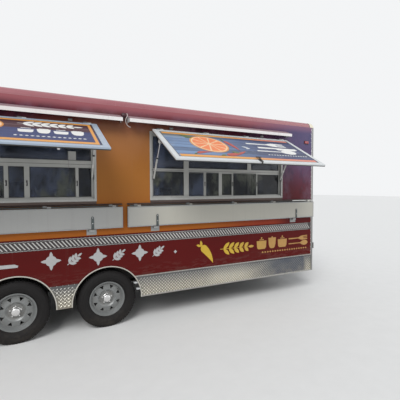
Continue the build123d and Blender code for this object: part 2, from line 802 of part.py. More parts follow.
def hatch_hinge_xs(side):
    centre = bay_centre(side)
    reach = HATCH_HALF - HATCH_HINGE_INSET
    return hinge_starts(centre - reach, centre + reach, HATCH_HINGE_COUNT)


def shelf_span(side):
    if side > 0:
        return SHELF_INNER_X, SHELF_OUTER_X
    return -SHELF_OUTER_X, -SHELF_INNER_X


def shelf_hinge_xs(side):
    x0, x1 = shelf_span(side)
    return hinge_starts(x0 + SHELF_HINGE_INSET, x1 - SHELF_HINGE_INSET, SHELF_HINGE_COUNT)


def hatch_pivot(angle, shape):
    """Turn a shape built for the closed hatch outwards by the opening angle."""
    pivot_y = -HALF_WIDTH - HATCH_PROUD
    place = Pos(0, pivot_y, HATCH_AXIS_Z)
    back = Pos(0, -pivot_y, -HATCH_AXIS_Z)
    return place * Rot(-angle, 0, 0) * back * shape


def strut_xs(side):
    half = WINDOW_WIDTH / 2 - LINER - STRUT_INSET
    return (bay_centre(side) - half, bay_centre(side) + half)


# Hatches: a skin in a frame of rails, with hinge knuckles and pairs of ears for the struts
def make_hatches():
    outer_y = -HALF_WIDTH - HATCH_PROUD
    inner_y = outer_y + HATCH_THICK
    ear_z0 = HATCH_AXIS_Z - STRUT_REACH - EAR_HALF
    ear_z1 = HATCH_AXIS_Z - STRUT_REACH + EAR_HALF
    ear_y = -HALF_WIDTH - STRUT_EAR_PROUD + EAR_TIP
    gap = EYE_WIDTH / 2 + MOVING_CLEAR
    for name, side, opening in BAYS:
        left = bay_centre(side) - HATCH_HALF
        right = bay_centre(side) + HATCH_HALF
        hatch = block(left, right, outer_y, inner_y, HATCH_BOTTOM, HATCH_TOP)
        hatch -= block(
            left + HATCH_RAIL,
            right - HATCH_RAIL,
            outer_y + HATCH_SKIN,
            inner_y + 1,
            HATCH_BOTTOM + HATCH_RAIL,
            HATCH_TOP - HATCH_RAIL,
        )
        for x in hatch_hinge_xs(side):
            reach = HATCH_TOP - KNUCKLE_LEAF
            hatch += moving_knuckle(x, HATCH_PROUD, HATCH_AXIS_Z, reach, outer_y - 2, outer_y + KNUCKLE_LEAF)
        for x in strut_xs(side):
            pad_x0 = x - gap - EAR_THICK
            pad_x1 = x + gap + EAR_THICK
            hatch += block(pad_x0, pad_x1, outer_y, inner_y, ear_z0, ear_z1)
            for x0 in (pad_x0, pad_x1 - EAR_THICK):
                hatch += block(x0, x0 + EAR_THICK, inner_y, ear_y, ear_z0, ear_z1)
        save(f"hatch_{name}", hatch_pivot(opening, hatch))


# Gas struts, drawn between the foot pin on the liner and the ear on the open hatch
def strut_ends(opening):
    """Foot and ear of a strut as (y, z) for a hatch opened by this many degrees."""
    foot = (-HALF_WIDTH - STRUT_FOOT_PROUD, STRUT_FOOT_Z)
    turn = radians(opening)
    inward = HATCH_PROUD - STRUT_EAR_PROUD
    out = -inward * cos(turn) + STRUT_REACH * sin(turn)
    up = -inward * sin(turn) - STRUT_REACH * cos(turn)
    return foot, (-HALF_WIDTH - HATCH_PROUD - out, HATCH_AXIS_Z + up)


def strut_length(opening):
    foot, ear = strut_ends(opening)
    return hypot(ear[0] - foot[0], ear[1] - foot[1])


def make_struts():
    tube_length = strut_length(0) - STRUT_HEAD
    rod_length = strut_length(0) - STRUT_TAIL
    tube = rod_z(0, 0, 0, tube_length, STRUT_TUBE)
    tube += rod_x(-EYE_WIDTH / 2, EYE_WIDTH / 2, 0, 0, EYE_RADIUS)
    tube -= rod_x(-EYE_WIDTH, EYE_WIDTH, 0, 0, PIN + PIN_CLEAR)
    tube -= rod_z(0, 0, STRUT_BORE_START, tube_length + 1, STRUT_ROD + PIN_CLEAR)
    for name, side, opening in BAYS:
        foot, ear = strut_ends(opening)
        lean = degrees(atan2(foot[0] - ear[0], ear[1] - foot[1]))
        length = strut_length(opening)
        rod = rod_z(0, 0, length - rod_length, length, STRUT_ROD)
        rod += rod_x(-EYE_WIDTH / 2, EYE_WIDTH / 2, 0, length, EYE_RADIUS)
        for place_name, x in zip(("a", "b"), strut_xs(side)):
            place = Pos(x, foot[0], foot[1]) * Rot(lean, 0, 0)
            save(f"strut_tube_{name}_{place_name}", place * tube)
            save(f"strut_rod_{name}_{place_name}", place * rod)


# Fixed hinge lugs, foot pins of the struts and their plates
def strut_foot(side, sign, x):
    jamb = bay_centre(side) + sign * (WINDOW_WIDTH / 2 - LINER)
    far = x - sign * (EYE_WIDTH / 2 + 2)
    y = -HALF_WIDTH - STRUT_FOOT_PROUD
    plate0 = min(jamb, jamb - sign * FOOT_PLATE)
    z0 = STRUT_FOOT_Z - FOOT_PLATE_HALF
    z1 = STRUT_FOOT_Z + FOOT_PLATE_HALF
    plate = block(plate0, plate0 + FOOT_PLATE, y - FOOT_PLATE_OUT, y + FOOT_PLATE_IN, z0, z1)
    return plate + rod_x(min(jamb, far), max(jamb, far), y, STRUT_FOOT_Z, PIN)


def make_hinge_lugs():
    solids = []
    for name, side, opening in BAYS:
        tail = HATCH_AXIS_Z + BARREL + PIN
        for x in hatch_hinge_xs(side):
            solids.append(fixed_knuckle(x, HATCH_PROUD, HATCH_AXIS_Z, HATCH_AXIS_Z, tail))
        for x in shelf_hinge_xs(side):
            low = SHELF_AXIS_Z - PIN
            solids.append(fixed_knuckle(x, SHELF_PIN_PROUD, SHELF_AXIS_Z, low, SHELF_AXIS_Z + SHELF_TAIL))
        for sign, x in zip((-1, 1), strut_xs(side)):
            solids.append(strut_foot(side, sign, x))
    save("hinge_lugs", *solids)


# Fold-up serving shelves, hanging down in front of the wall
def make_shelves():
    outer_y = -HALF_WIDTH - SHELF_PROUD
    axis_y = -HALF_WIDTH - SHELF_PIN_PROUD
    for name, side, opening in BAYS:
        x0, x1 = shelf_span(side)
        shelf = block(x0, x1, outer_y, outer_y + SHELF_THICK, SHELF_TOP - SHELF_HEIGHT, SHELF_TOP)
        for x in shelf_hinge_xs(side):
            leaf0 = axis_y - KNUCKLE_LEAF
            leaf1 = axis_y + KNUCKLE_LEAF
            shelf += moving_knuckle(x, SHELF_PIN_PROUD, SHELF_AXIS_Z, SHELF_TOP - 4, leaf0, leaf1)
        save(f"shelf_{name}", shelf)


# Catch brackets below the shelves
def make_brackets():
    solids = []
    top = SHELF_TOP - SHELF_HEIGHT - MOVING_CLEAR - 2
    plate_y = -HALF_WIDTH - BRACKET_SHEET
    catch_y = -HALF_WIDTH - SHELF_PROUD + PIN
    for x in (SHELF_INNER_X + BRACKET_INNER, SHELF_OUTER_X - BRACKET_OUTER):
        for centre in (x, -x):
            half = BRACKET_WIDTH / 2
            plate = block(centre - half, centre + half, plate_y, -HALF_WIDTH, top - BRACKET_HEIGHT, top)
            half = CATCH_WIDTH / 2
            plate += block(centre - half, centre + half, catch_y, -HALF_WIDTH, top - CATCH_HEIGHT, top)
            solids.append(plate)
    save("shelf_brackets", *solids)


# Rain gutters over the hatches: a sloped top and a drop lip
def make_gutters():
    wall_y = -HALF_WIDTH
    lip_y = wall_y - GUTTER_PROUD
    shoulder = GUTTER_TOP - GUTTER_DROP
    outline = (
        (wall_y, GUTTER_TOP),
        (lip_y, shoulder),
        (lip_y, shoulder - GUTTER_LIP),
        (lip_y + GUTTER_SHEET, shoulder - GUTTER_LIP),
        (lip_y + GUTTER_SHEET, shoulder - GUTTER_SHEET),
        (wall_y, GUTTER_TOP - GUTTER_SHEET - 1),
    )
    front = prism_x(outline, GUTTER_INNER_X, GUTTER_OUTER_X)
    rear = prism_x(outline, -GUTTER_OUTER_X, -GUTTER_INNER_X)
    save("gutters", front, rear)


# Rear door with hinges on its street side, a lock plate and a grab handle
def door_handle(face_x, bottom):
    y = -DOOR_WIDTH / 2 + DOOR_GAP + HANDLE_INSET
    z = bottom + HANDLE_RISE
    plate_y0 = y - LOCK_PLATE_WIDTH / 2
    plate_y1 = y + LOCK_PLATE_WIDTH / 2
    plate_x = face_x - DOOR_PROUD
    grip_x = face_x - HANDLE_REACH
    handle = block(plate_x, face_x, plate_y0, plate_y1, z, z + LOCK_PLATE_HEIGHT)
    low = z + (LOCK_PLATE_HEIGHT - HANDLE_LENGTH) / 2
    for stand_z in (low + HANDLE_ROD, low + HANDLE_LENGTH - HANDLE_ROD):
        handle += rod_x(grip_x, face_x, y, stand_z, HANDLE_ROD - 1)
    return handle + rod_z(grip_x, y, low, low + HANDLE_LENGTH, HANDLE_ROD)


def make_door():
    face_x = -HALF_LENGTH - DOOR_PROUD
    half = DOOR_WIDTH / 2 - DOOR_GAP
    bottom = FLOOR_TOP + DOOR_SILL + DOOR_GAP
    top = FLOOR_TOP + DOOR_SILL + DOOR_HEIGHT - DOOR_GAP
    door = block(face_x, -INSIDE_X, -half, half, bottom, top)
    axis_x = face_x - BARREL
    axis_y = DOOR_WIDTH / 2 + DOOR_GAP
    lugs = []
    for z in hinge_starts(bottom + DOOR_HINGE_INSET, top - DOOR_HINGE_INSET, DOOR_HINGE_COUNT):
        z0 = z + KNUCKLE + KNUCKLE_GAP
        z1 = z0 + KNUCKLE
        knuckle = rod_z(axis_x, axis_y, z0, z1, BARREL)
        knuckle += block(face_x - KNUCKLE_LEAF, face_x, half - DOOR_LEAF, axis_y, z0, z1)
        knuckle -= rod_z(axis_x, axis_y, z, z1 + KNUCKLE, PIN + PIN_CLEAR)
        door += knuckle
        lug = rod_z(axis_x, axis_y, z, z + KNUCKLE, BARREL)
        lug += block(axis_x, -HALF_LENGTH, axis_y, axis_y + DOOR_TAIL, z, z + KNUCKLE)
        lug += rod_z(axis_x, axis_y, z, z + 2 * KNUCKLE, PIN)
        lugs.append(lug)
    save("rear_door", door + door_handle(face_x, bottom))
    save("door_lugs", *lugs)


# Rear bumper, entry step and blank number plate
def make_bumper():
    top = FRAME_TOP - BUMPER_DROP
    bottom = top - BUMPER_HEIGHT
    back = -HALF_LENGTH - BUMPER_BACK
    front = back + BUMPER_BAR
    bumper = block(back, front, -STRAIGHT_Y, STRAIGHT_Y, bottom, top)
    rail_mount = block(front, -HALF_LENGTH, RAIL_INNER, RAIL_OUTER, bottom, top)
    bumper += rail_mount + mirror_y(rail_mount)
    bumper += block(back - STEP_OUT, front, -STEP_HALF, STEP_HALF, STEP_TOP - STEP_SHEET, STEP_TOP)
    kerb = block(back - STEP_OUT, front, STEP_HALF - STEP_SHEET, STEP_HALF, STEP_TOP, STEP_TOP + STEP_KERB)
    hanger = block(back, front, STEP_HALF - STEP_SHEET, STEP_HALF, STEP_TOP, bottom)
    side = kerb + hanger
    bumper += side + mirror_y(side)
    middle = (bottom + top) / 2
    plate_y0 = PLATE_Y - PLATE_LENGTH / 2
    plate_z0 = middle - PLATE_HEIGHT / 2
    plate_z1 = middle + PLATE_HEIGHT / 2
    bumper += block(back - PLATE_THICK, back, plate_y0, plate_y0 + PLATE_LENGTH, plate_z0, plate_z1)
    save("bumper", bumper)


# Lamps: side and front markers, and tail lamps beside the rear door
def make_lamps():
    solids = []
    marker_x = HALF_LENGTH - MARKER_INSET
    marker_y = HALF_WIDTH + MARKER_DEPTH / 2
    side_marker = Box(MARKER_LENGTH, MARKER_DEPTH, MARKER_HEIGHT)
    for x in (marker_x, -marker_x):
        placed = Pos(x, marker_y, WALL_TOP - MARKER_DROP) * side_marker
        solids += [placed, mirror_y(placed)]
    nose_x = HALF_LENGTH + MARKER_DEPTH / 2
    nose_y = STRAIGHT_Y - NOSE_MARKER_INSET
    nose_marker = Box(MARKER_DEPTH, MARKER_LENGTH, MARKER_HEIGHT)
    nose_marker = Pos(nose_x, nose_y, WALL_TOP - NOSE_MARKER_DROP) * nose_marker
    solids += [nose_marker, mirror_y(nose_marker)]
    for rise in TAIL_LAMP_RISES:
        y = STRAIGHT_Y - TAIL_LAMP_INSET
        tail = rod_x(-HALF_LENGTH - TAIL_LAMP_DEPTH, -HALF_LENGTH, y, FRAME_TOP + rise, TAIL_LAMP_RADIUS)
        solids += [tail, mirror_y(tail)]
    save("lamps", *solids)


# Round fitting between the gutters, with a bent wire hook
def make_hook():
    y = -HALF_WIDTH
    z = GUTTER_TOP - KNOB_DROP
    body = rod_y(KNOB_X, y - KNOB_PROUD, y, z, KNOB_BASE)
    reach = KNOB_PROUD + KNOB_RADIUS
    room = block(KNOB_X - reach, KNOB_X + reach, y - reach, y, z - reach, z + reach)
    body += Pos(KNOB_X, y - KNOB_PROUD, z) * Sphere(KNOB_RADIUS) & room
    knob_y = y - KNOB_PROUD
    path = Spline(
        (KNOB_X, knob_y - KNOB_RADIUS / 2, z + KNOB_RADIUS - 3 * HOOK_ROD),
        (KNOB_X + HOOK_SWING, knob_y - KNOB_RADIUS, z + HOOK_ROD),
        (KNOB_X + HOOK_SWING / 2, knob_y - KNOB_RADIUS, z - HOOK_DROP / 3),
        (KNOB_X + HOOK_SWING / 2 + HOOK_ROD, knob_y - KNOB_BASE, z - HOOK_DROP * 2 / 3),
        (KNOB_X + HOOK_SWING * 2 - HOOK_ROD, knob_y - KNOB_BASE, z - HOOK_DROP),
    )
    profile = Plane(origin=path @ 0, z_dir=path % 0) * Circle(HOOK_ROD)
    save("hook_lamp", body + sweep(profile, path=path))


# Gas cylinders, each on its foot ring, on a tray across the tongue beams
def make_gas():
    tray0 = CYLINDER_X - TRAY_LENGTH / 2
    tray1 = CYLINDER_X + TRAY_LENGTH / 2
    tray_half = beam_outer(CYLINDER_X)
    tray_top = BEAM_TOP + TRAY_THICK
    save("cylinder_tray", block(tray0, tray1, -tray_half, tray_half, BEAM_TOP, tray_top))
    y = CYLINDER_RADIUS + CYLINDER_GAP
    shell_z = tray_top + CYLINDER_FOOT
    top = shell_z + CYLINDER_HEIGHT
    shell = rod_z(CYLINDER_X, y, shell_z, top, CYLINDER_RADIUS)
    shell = fillet(shell.edges().filter_by(GeomType.CIRCLE), CYLINDER_ROUND)
    foot_inner = COLLAR_RADIUS - COLLAR_SHEET
    foot = rod_z(CYLINDER_X, y, tray_top, shell_z + 20, COLLAR_RADIUS)
    foot -= rod_z(CYLINDER_X, y, tray_top - 1, shell_z, foot_inner)
    collar = rod_z(CYLINDER_X, y, top - 12, top + COLLAR_HEIGHT, COLLAR_RADIUS)
    collar -= rod_z(CYLINDER_X, y, top, top + COLLAR_HEIGHT + 1, foot_inner)
    valve = rod_z(CYLINDER_X, y, top - 5, top + VALVE_HEIGHT, VALVE_RADIUS)
    cylinder = foot + shell + collar + valve
    save("gas_cylinders", cylinder, mirror_y(cylinder))


# Roof fittings: a low vent lid and a round exhaust fan
def make_vents():
    lid = Box(LID_SIZE, LID_SIZE, LID_HEIGHT)
    lid = Pos(HALF_LENGTH - LID_INSET_X, LID_INSET_Y - HALF_WIDTH, ROOF_TOP + LID_HEIGHT / 2) * lid
    lid = chamfer(lid.edges().group_by(Axis.Z)[-1], LID_BEVEL)
    neck_z = ROOF_TOP + FAN_BASE_HEIGHT
    head_z = neck_z + FAN_NECK_HEIGHT
    fan = Pos(FAN_X, FAN_Y, ROOF_TOP + FAN_BASE_HEIGHT / 2) * Box(FAN_BASE, FAN_BASE, FAN_BASE_HEIGHT)
    fan += rod_z(FAN_X, FAN_Y, neck_z, head_z, FAN_NECK)
    fan += rod_z(FAN_X, FAN_Y, head_z, head_z + FAN_HEAD_HEIGHT, FAN_HEAD)
    save("roof_vents", lid, fan)


# Kitchen pieces that show through the windows
def make_counter():
    end = INSIDE_X - COUNTER_END
    top = WINDOW_BOTTOM - COUNTER_BELOW
    under = top - COUNTER_THICK
    front_y = -INSIDE_Y + COUNTER_DEPTH
    counter = block(-end, end, -INSIDE_Y, front_y, under, top)
    step = (2 * end - COUNTER_LEG) / (COUNTER_LEG_COUNT - 1)
    for index in range(COUNTER_LEG_COUNT):
        x = -end + step * index
        counter += block(x, x + COUNTER_LEG, front_y - COUNTER_LEG_DEPTH, front_y, FLOOR_TOP, under)
    return counter


def make_kitchen():
    cook_y = INSIDE_Y - COOK_DEPTH
    above_box = BOX_TOP + COOK_GAP
    line = block(-COOK_REAR, COOK_FRONT, cook_y, INSIDE_Y, above_box, COOK_TOP)
    line += block(-COOK_REAR, -COOK_REAR + COOK_PANEL, cook_y, BOX_INNER_Y - COOK_GAP, FLOOR_TOP, above_box)
    line += block(COOK_FRONT - COOK_DEPTH, COOK_FRONT, cook_y, INSIDE_Y, FLOOR_TOP, above_box)
    fridge_x1 = INSIDE_X - FRIDGE_END
    fridge_x0 = fridge_x1 - FRIDGE_WIDTH
    fridge = block(fridge_x0, fridge_x1, INSIDE_Y - FRIDGE_DEPTH, INSIDE_Y, FLOOR_TOP, FRIDGE_TOP)
    hood_top = ROOF_TOP - HOOD_BELOW_ROOF
    hood_outline = (
        (INSIDE_Y, HOOD_BOTTOM),
        (INSIDE_Y - HOOD_DEPTH, HOOD_BOTTOM),
        (INSIDE_Y - HOOD_DEPTH, HOOD_BOTTOM + HOOD_LIP),
        (INSIDE_Y - HOOD_TOP_DEPTH, hood_top),
        (INSIDE_Y, hood_top),
    )
    hood = prism_x(hood_outline, -HOOD_REAR, HOOD_FRONT)
    save("kitchen", make_counter(), line, fridge, hood)


os.makedirs("parts", exist_ok=True)
make_rails()
make_crossmembers()
make_tongue()
make_coupler()
make_jack()
make_axles()
make_wheels()
make_floor()
make_wheel_boxes()
make_side_walls()
make_end_walls()
make_roof()
make_corners()
make_skirts()
make_windows()
make_hatches()
make_struts()
make_hinge_lugs()
make_shelves()
make_brackets()
make_gutters()
make_door()
make_bumper()
make_lamps()
make_hook()
make_gas()
make_vents()
make_kitchen()
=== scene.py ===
from math import atan2, copysign, cos, hypot, pi, radians, sin

import bmesh
import bpy
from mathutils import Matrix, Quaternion, Vector


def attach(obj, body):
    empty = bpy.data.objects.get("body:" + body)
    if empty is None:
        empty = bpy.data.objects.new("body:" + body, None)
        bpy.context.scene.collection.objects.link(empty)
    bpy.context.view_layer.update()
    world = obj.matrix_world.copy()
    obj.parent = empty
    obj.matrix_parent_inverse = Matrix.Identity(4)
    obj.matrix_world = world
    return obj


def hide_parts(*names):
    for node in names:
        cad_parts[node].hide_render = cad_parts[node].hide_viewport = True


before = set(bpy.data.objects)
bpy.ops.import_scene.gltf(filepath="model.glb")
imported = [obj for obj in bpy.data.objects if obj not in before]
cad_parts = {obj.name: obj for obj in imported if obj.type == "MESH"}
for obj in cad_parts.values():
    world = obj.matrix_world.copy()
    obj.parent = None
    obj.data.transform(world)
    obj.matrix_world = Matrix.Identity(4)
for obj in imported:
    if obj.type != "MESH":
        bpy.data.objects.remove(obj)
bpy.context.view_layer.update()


# Camera: stands in front of the serving side, 3.9 m from the wall, and looks 27 degrees
# along the trailer towards its nose, as in the photograph.
EYE = (-4.9, -5.1, 1.665)
eye_data = bpy.data.cameras.new("photo_eye")
eye_data.sensor_width = 36
eye_data.lens = 28.97
eye = bpy.data.objects.new("photo_eye", eye_data)
eye.location = EYE
eye.rotation_euler = (radians(88.0), radians(0.153), radians(-26.85))
bpy.context.scene.collection.objects.link(eye)
bpy.context.scene.camera = eye
bpy.context.scene.view_settings.view_transform = "Standard"


# A finish is a node tree that reads the place on the object. Each socket is wrapped, so that
# masks and mixes are written as sums, and any other node comes from one call.
class Shade:
    def __init__(self, material, socket=None):
        self.material = material
        self.socket = socket

    def node(self, kind, settings=None, values=None, output=0):
        made = self.material.node_tree.nodes.new("ShaderNode" + kind)
        for name, value in (settings or {}).items():
            if name == "stops":
                ramp = made.color_ramp.elements
                while len(ramp) < len(value):
                    ramp.new(0.5)
                for stop, (place, tone) in zip(ramp, value):
                    stop.position = place
                    stop.color = (*tone, 1)
            else:
                setattr(made, name, value)
        for name, value in (values or {}).items():
            if isinstance(value, Shade):
                self.material.node_tree.links.new(value.socket, made.inputs[name])
            else:
                made.inputs[name].default_value = value
        return Shade(self.material, made.outputs[output] if len(made.outputs) else None)

    def maths(self, operation, *terms):
        return self.node("Math", {"operation": operation}, dict(enumerate(terms)))

    def __add__(self, other):
        return self.maths("ADD", self, other)

    def __radd__(self, other):
        return self.maths("ADD", other, self)

    def __sub__(self, other):
        return self.maths("SUBTRACT", self, other)

    def __rsub__(self, other):
        return self.maths("SUBTRACT", other, self)

    def __mul__(self, other):
        return self.maths("MULTIPLY", self, other)

    def __rmul__(self, other):
        return self.maths("MULTIPLY", other, self)

    def __truediv__(self, other):
        return self.maths("DIVIDE", self, other)

    def fade(self, low, high):
        """0 below low, 1 above high and a smooth step between"""
        steps = {"interpolation_type": "SMOOTHSTEP"}
        return self.node("MapRange", steps, {"Value": self, "From Min": low, "From Max": high})

    def mix(self, plain, other):
        """plain where this mask is 0 and other where it is 1"""
        tones = [tone if isinstance(tone, Shade) else (*tone, 1) for tone in (plain, other)]
        return self.node("Mix", {"data_type": "RGBA"}, {0: self, 6: tones[0], 7: tones[1]}, 2)

    def stretched(self, x, y, z):
        return self.node("VectorMath", {"operation": "MULTIPLY"}, {0: self, 1: (x, y, z)})

    def cloud(self, scale, detail=3.0, roughness=0.5):
        values = {"Vector": self, "Scale": scale, "Detail": detail, "Roughness": roughness}
        return self.node("TexNoise", {}, values)


def begin(name):
    """A new finish, started from the place on the object: its vector and its x, y and z"""
    material = bpy.data.materials.new(name)
    material.use_nodes = True
    material.node_tree.nodes.clear()
    place = Shade(material).node("TexCoord", {}, {}, "Object")
    axes = place.node("SeparateXYZ", {}, {0: place})
    parts = [Shade(material, axes.socket.node.outputs[index]) for index in range(3)]
    return place, *parts


def end(place, values, relief=None, depth=0.001, strength=0.3):
    """Closes a finish with its surface and, where given, a relief of that depth in metres"""
    if relief:
        bump = {"Height": relief, "Distance": depth, "Strength": strength}
        values = {**values, "Normal": place.node("Bump", {}, bump)}
    surface = place.node("BsdfPrincipled", {}, values)
    place.node("OutputMaterial", {}, {"Surface": surface})
    return place.material


# Studio: a pale floor and a pale room that only the lens, mirrors and glass see at full
# strength. A broad soft lamp stands high to the front left and a weaker one fills in.
FLOOR_REACH = 60
place = begin("studio_floor")[0]
tone = place.cloud(6.0, 6.0, 0.6).mix((0.7, 0.7, 0.69), (0.76, 0.76, 0.75))
floor_mesh = bpy.data.meshes.new("studio_floor")
corners = [(u * FLOOR_REACH, v * FLOOR_REACH, 0) for u, v in ((-1, -1), (1, -1), (1, 1), (-1, 1))]
floor_mesh.from_pydata(corners, [], [(0, 1, 2, 3)])
floor_mesh.materials.append(end(place, {"Base Color": tone, "Roughness": 0.75}))
studio_floor = bpy.data.objects.new("studio_floor", floor_mesh)
bpy.context.scene.collection.objects.link(studio_floor)

room = bpy.data.worlds.new("studio_room")
bpy.context.scene.world = room
room.use_nodes = True
room.node_tree.nodes.clear()
sky = Shade(room)
lens = sky.node("LightPath", {}, {}, "Is Camera Ray")
mirror = sky.node("LightPath", {}, {}, "Is Glossy Ray")
glass = sky.node("LightPath", {}, {}, "Is Transmission Ray")
seen = sky.maths("MAXIMUM", sky.maths("MAXIMUM", lens, mirror), glass)
ambient = sky.node("Background", {}, {"Color": (0.93, 0.96, 1.0, 1), "Strength": 0.55})
backdrop = sky.node("Background", {}, {"Color": (0.9, 0.91, 0.92, 1), "Strength": 1.0})
shown = sky.node("MixShader", {}, {0: seen, 1: ambient, 2: backdrop})
sky.node("OutputWorld", {}, {"Surface": shown})

for lamp_name, strength, angle, turn in (
        ("key_lamp", 2.1, 30, (48, 0, -38)), ("fill_lamp", 0.7, 60, (70, 0, 60))):
    lamp_data = bpy.data.lights.new(lamp_name, "SUN")
    lamp_data.energy = strength
    lamp_data.angle = radians(angle)
    lamp = bpy.data.objects.new(lamp_name, lamp_data)
    lamp.rotation_euler = [radians(part) for part in turn]
    bpy.context.scene.collection.objects.link(lamp)


# Body walls: flat aluminium-skinned panels in a glossy printed wrap. A warm orange glow
# fills the middle and fades to maroon, with smoke above, and the inside is plain white board.
# Painted sky reflection turns the upper wall purple and blue towards the nose, and a painted
# highlight runs under the roof edge.
MIDDLE = -3.96
SIDE = 1.22
NOSE = MIDDLE + 3.15
TAIL = MIDDLE - 3.15
SILL = 0.585
EAVE = 2.65
STRAIGHT = 3.07
MAROON = (0.088, 0.0045, 0.004)
MAROON_HIGH = (0.092, 0.015, 0.027)
ORANGE = (0.32, 0.122, 0.024)
ORANGE_LOW = (0.34, 0.098, 0.012)
ORANGE_HIGH = (0.3, 0.126, 0.05)
RED_FOOT = (0.255, 0.034, 0.014)
SMOKE_AND_REFLECTION = (0.128, 0.068, 0.1)
SOOT = (0.03, 0.012, 0.02)
NOSE_SKY_REFLECTION = (0.078, 0.075, 0.17)
GLOW_Z = 1.126
GLOW_HALF_LENGTH = 2.0
GLOW_HEIGHT = 1.4


def coat(material, *nodes):
    """Gives CAD nodes this finish"""
    for name in nodes:
        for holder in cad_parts[name].material_slots:
            holder.material = material


def wrap(name, glowing):
    place, x, y, z = begin(name)
    along = x - MIDDLE
    length = along / GLOW_HALF_LENGTH
    height = (z - GLOW_Z) / GLOW_HEIGHT
    distance = place.maths("SQRT", length * length + height * height)
    billow = place.stretched(0.8, 0.8, 1.6).cloud(1.7, 4.0, 0.55)
    glow = 1 - (distance + (billow - 0.5) * 0.16).fade(0.8, 1.1)
    above = z.fade(1.124, 1.127)
    warm = z.fade(1.1, 1.75).mix(ORANGE_LOW, ORANGE)
    warm = z.fade(1.75, 2.45).mix(warm, ORANGE_HIGH)
    foot = 1 - z.fade(1.25, 1.4)
    warm = (foot * along.fade(1.0, 2.1)).mix(warm, RED_FOOT)
    strip = foot * along.fade(0.0, 0.5) * (1 - along.fade(2.25, 2.65))
    glow = place.maths("MAXIMUM", glow, strip)
    # Painted sky reflection: the maroon turns purple towards the top of the wall.
    high = z.fade(0.9, 2.3).mix(MAROON, MAROON_HIGH)
    smoke = place.stretched(1, 1, 0.7).cloud(2.6, 5.0, 0.62).fade(0.44, 0.66)
    # Smoke print, its bluish tint partly a painted sky reflection.
    high = (smoke * z.fade(1.36, 1.5) * 0.68).mix(high, SMOKE_AND_REFLECTION)
    soot = place.stretched(1.2, 1.2, 0.8).cloud(3.7, 6.0, 0.66).fade(0.5, 0.62)
    high = (soot * z.fade(1.5, 1.7) * 0.6).mix(high, SOOT)
    # Painted sky reflection: the upper wall turns blue towards the nose.
    nose = along.fade(1.6, 2.9)
    high = (nose * z.fade(1.55, 2.4) * 0.75).mix(high, NOSE_SKY_REFLECTION)
    printed = (glow * above * glowing).mix(high, warm)
    # Painted highlight: a pink band under the roof edge, purple towards the nose, stands for
    # reflected sky.
    painted_sheen = nose.mix((0.3, 0.098, 0.112), (0.19, 0.1, 0.165))
    printed = z.fade(2.535, 2.64).mix(printed, painted_sheen)
    splashes = place.stretched(1, 1, 4).cloud(5.0, 5.0, 0.65).fade(0.42, 0.75)
    grime = (1 - z.fade(0.58, 0.8)) * splashes
    printed = (grime * 0.3).mix(printed, (0.13, 0.1, 0.08))
    streaks = place.stretched(30, 30, 0.7).cloud(1.0, 3.0, 0.6).fade(0.6, 0.8)
    printed = (streaks * 0.05).mix(printed, (0.22, 0.17, 0.15))
    inside = 1 - place.maths("ABSOLUTE", y).fade(1.19, 1.2)
    inner = inside * (1 - place.maths("ABSOLUTE", along).fade(3.12, 3.13))
    board = place.cloud(9.0, 4.0).mix((0.6, 0.6, 0.57), (0.7, 0.69, 0.66))
    rough = 0.16 + billow * 0.1 + grime * 0.35 + inner * 0.3
    ripple = place.stretched(1, 1, 0.5).cloud(2.2, 2.0, 0.4)
    relief = ripple * 4.0 + place.cloud(420.0, 1.0) * 0.06
    values = {
        "Base Color": inner.mix(printed, board), "Roughness": rough, "Specular IOR Level": 0.14}
    return end(place, values, relief, 0.002, 0.12)


coat(wrap("wrap_orange_and_maroon", 1.0), "serving_wall", "street_wall")
coat(wrap("wrap_maroon", 0.0), "front_wall", "rear_wall")


# Roof: one skin whose round edges are rolled on all four sides. The edges carry the maroon
# wrap and the flat top is bare pale sheet with seams over the bows.
place, x, y, z = begin("roof_wrap_and_sheet")
facing = place.node("NewGeometry", {}, {}, "Normal")
upward = place.node("SeparateXYZ", {}, {0: facing}, "Z")
sheet = upward.fade(0.93, 0.96) * z.fade(2.715, 2.722)
cloudy = place.cloud(1.6, 4.0, 0.55)
# Painted sunlight: the wrap on the rolled edges is lighter and pinker than the same wrap on the
# walls.
wrapped = cloudy.mix((0.24, 0.062, 0.078), (0.35, 0.13, 0.145))
faded = place.stretched(0.4, 6, 6).cloud(4.0, 4.0, 0.6).fade(0.52, 0.8)
wrapped = (faded * 0.35).mix(wrapped, (0.3, 0.16, 0.16))
dusty = place.cloud(3.0, 6.0, 0.65).fade(0.4, 0.72)
bare = dusty.mix((0.66, 0.66, 0.65), (0.5, 0.48, 0.44))
bows = place.maths("PINGPONG", x - MIDDLE, 0.305).fade(0.004, 0.012)
bare = bows.mix((0.4, 0.39, 0.37), bare)
inner = (1 - z.fade(2.69, 2.7)) * (1 - upward.fade(0.0, 0.1))
tone = inner.mix(sheet.mix(wrapped, bare), (0.66, 0.66, 0.63))
rough = 0.22 + cloudy * 0.12 + sheet * 0.3
billow = place.stretched(1, 2, 2).cloud(2.0, 2.0)
relief = place.cloud(300.0, 1.0) * 0.05 + billow * 3.0 + bows * sheet * 0.6
values = {"Base Color": tone, "Roughness": rough, "Coat Weight": 0.25, "Coat Roughness": 0.08}
coat(end(place, values, relief, 0.002, 0.15), "roof")


# Corner posts: extruded round aluminium corners, with cream cast caps where they meet the
# roof edges.
def bare_metal(name, tone, other, rough, grain=(1, 1, 1), metallic=0.85):
    """Bare or thinly painted metal with stains and fine lines that run where grain is small"""
    place = begin(name)[0]
    spread = place.cloud(3.5, 5.0, 0.6)
    lines = place.stretched(*grain).cloud(60.0, 3.0, 0.6)
    stain = place.cloud(1.3, 6.0, 0.7).fade(0.5, 0.75)
    values = {
        "Base Color": (stain * 0.6 + spread * 0.4).mix(tone, other), "Metallic": metallic,
        "Roughness": rough + lines * 0.14 + stain * 0.12}
    return end(place, values, lines + place.cloud(500.0, 1.0) * 0.2, 0.0006, 0.25)
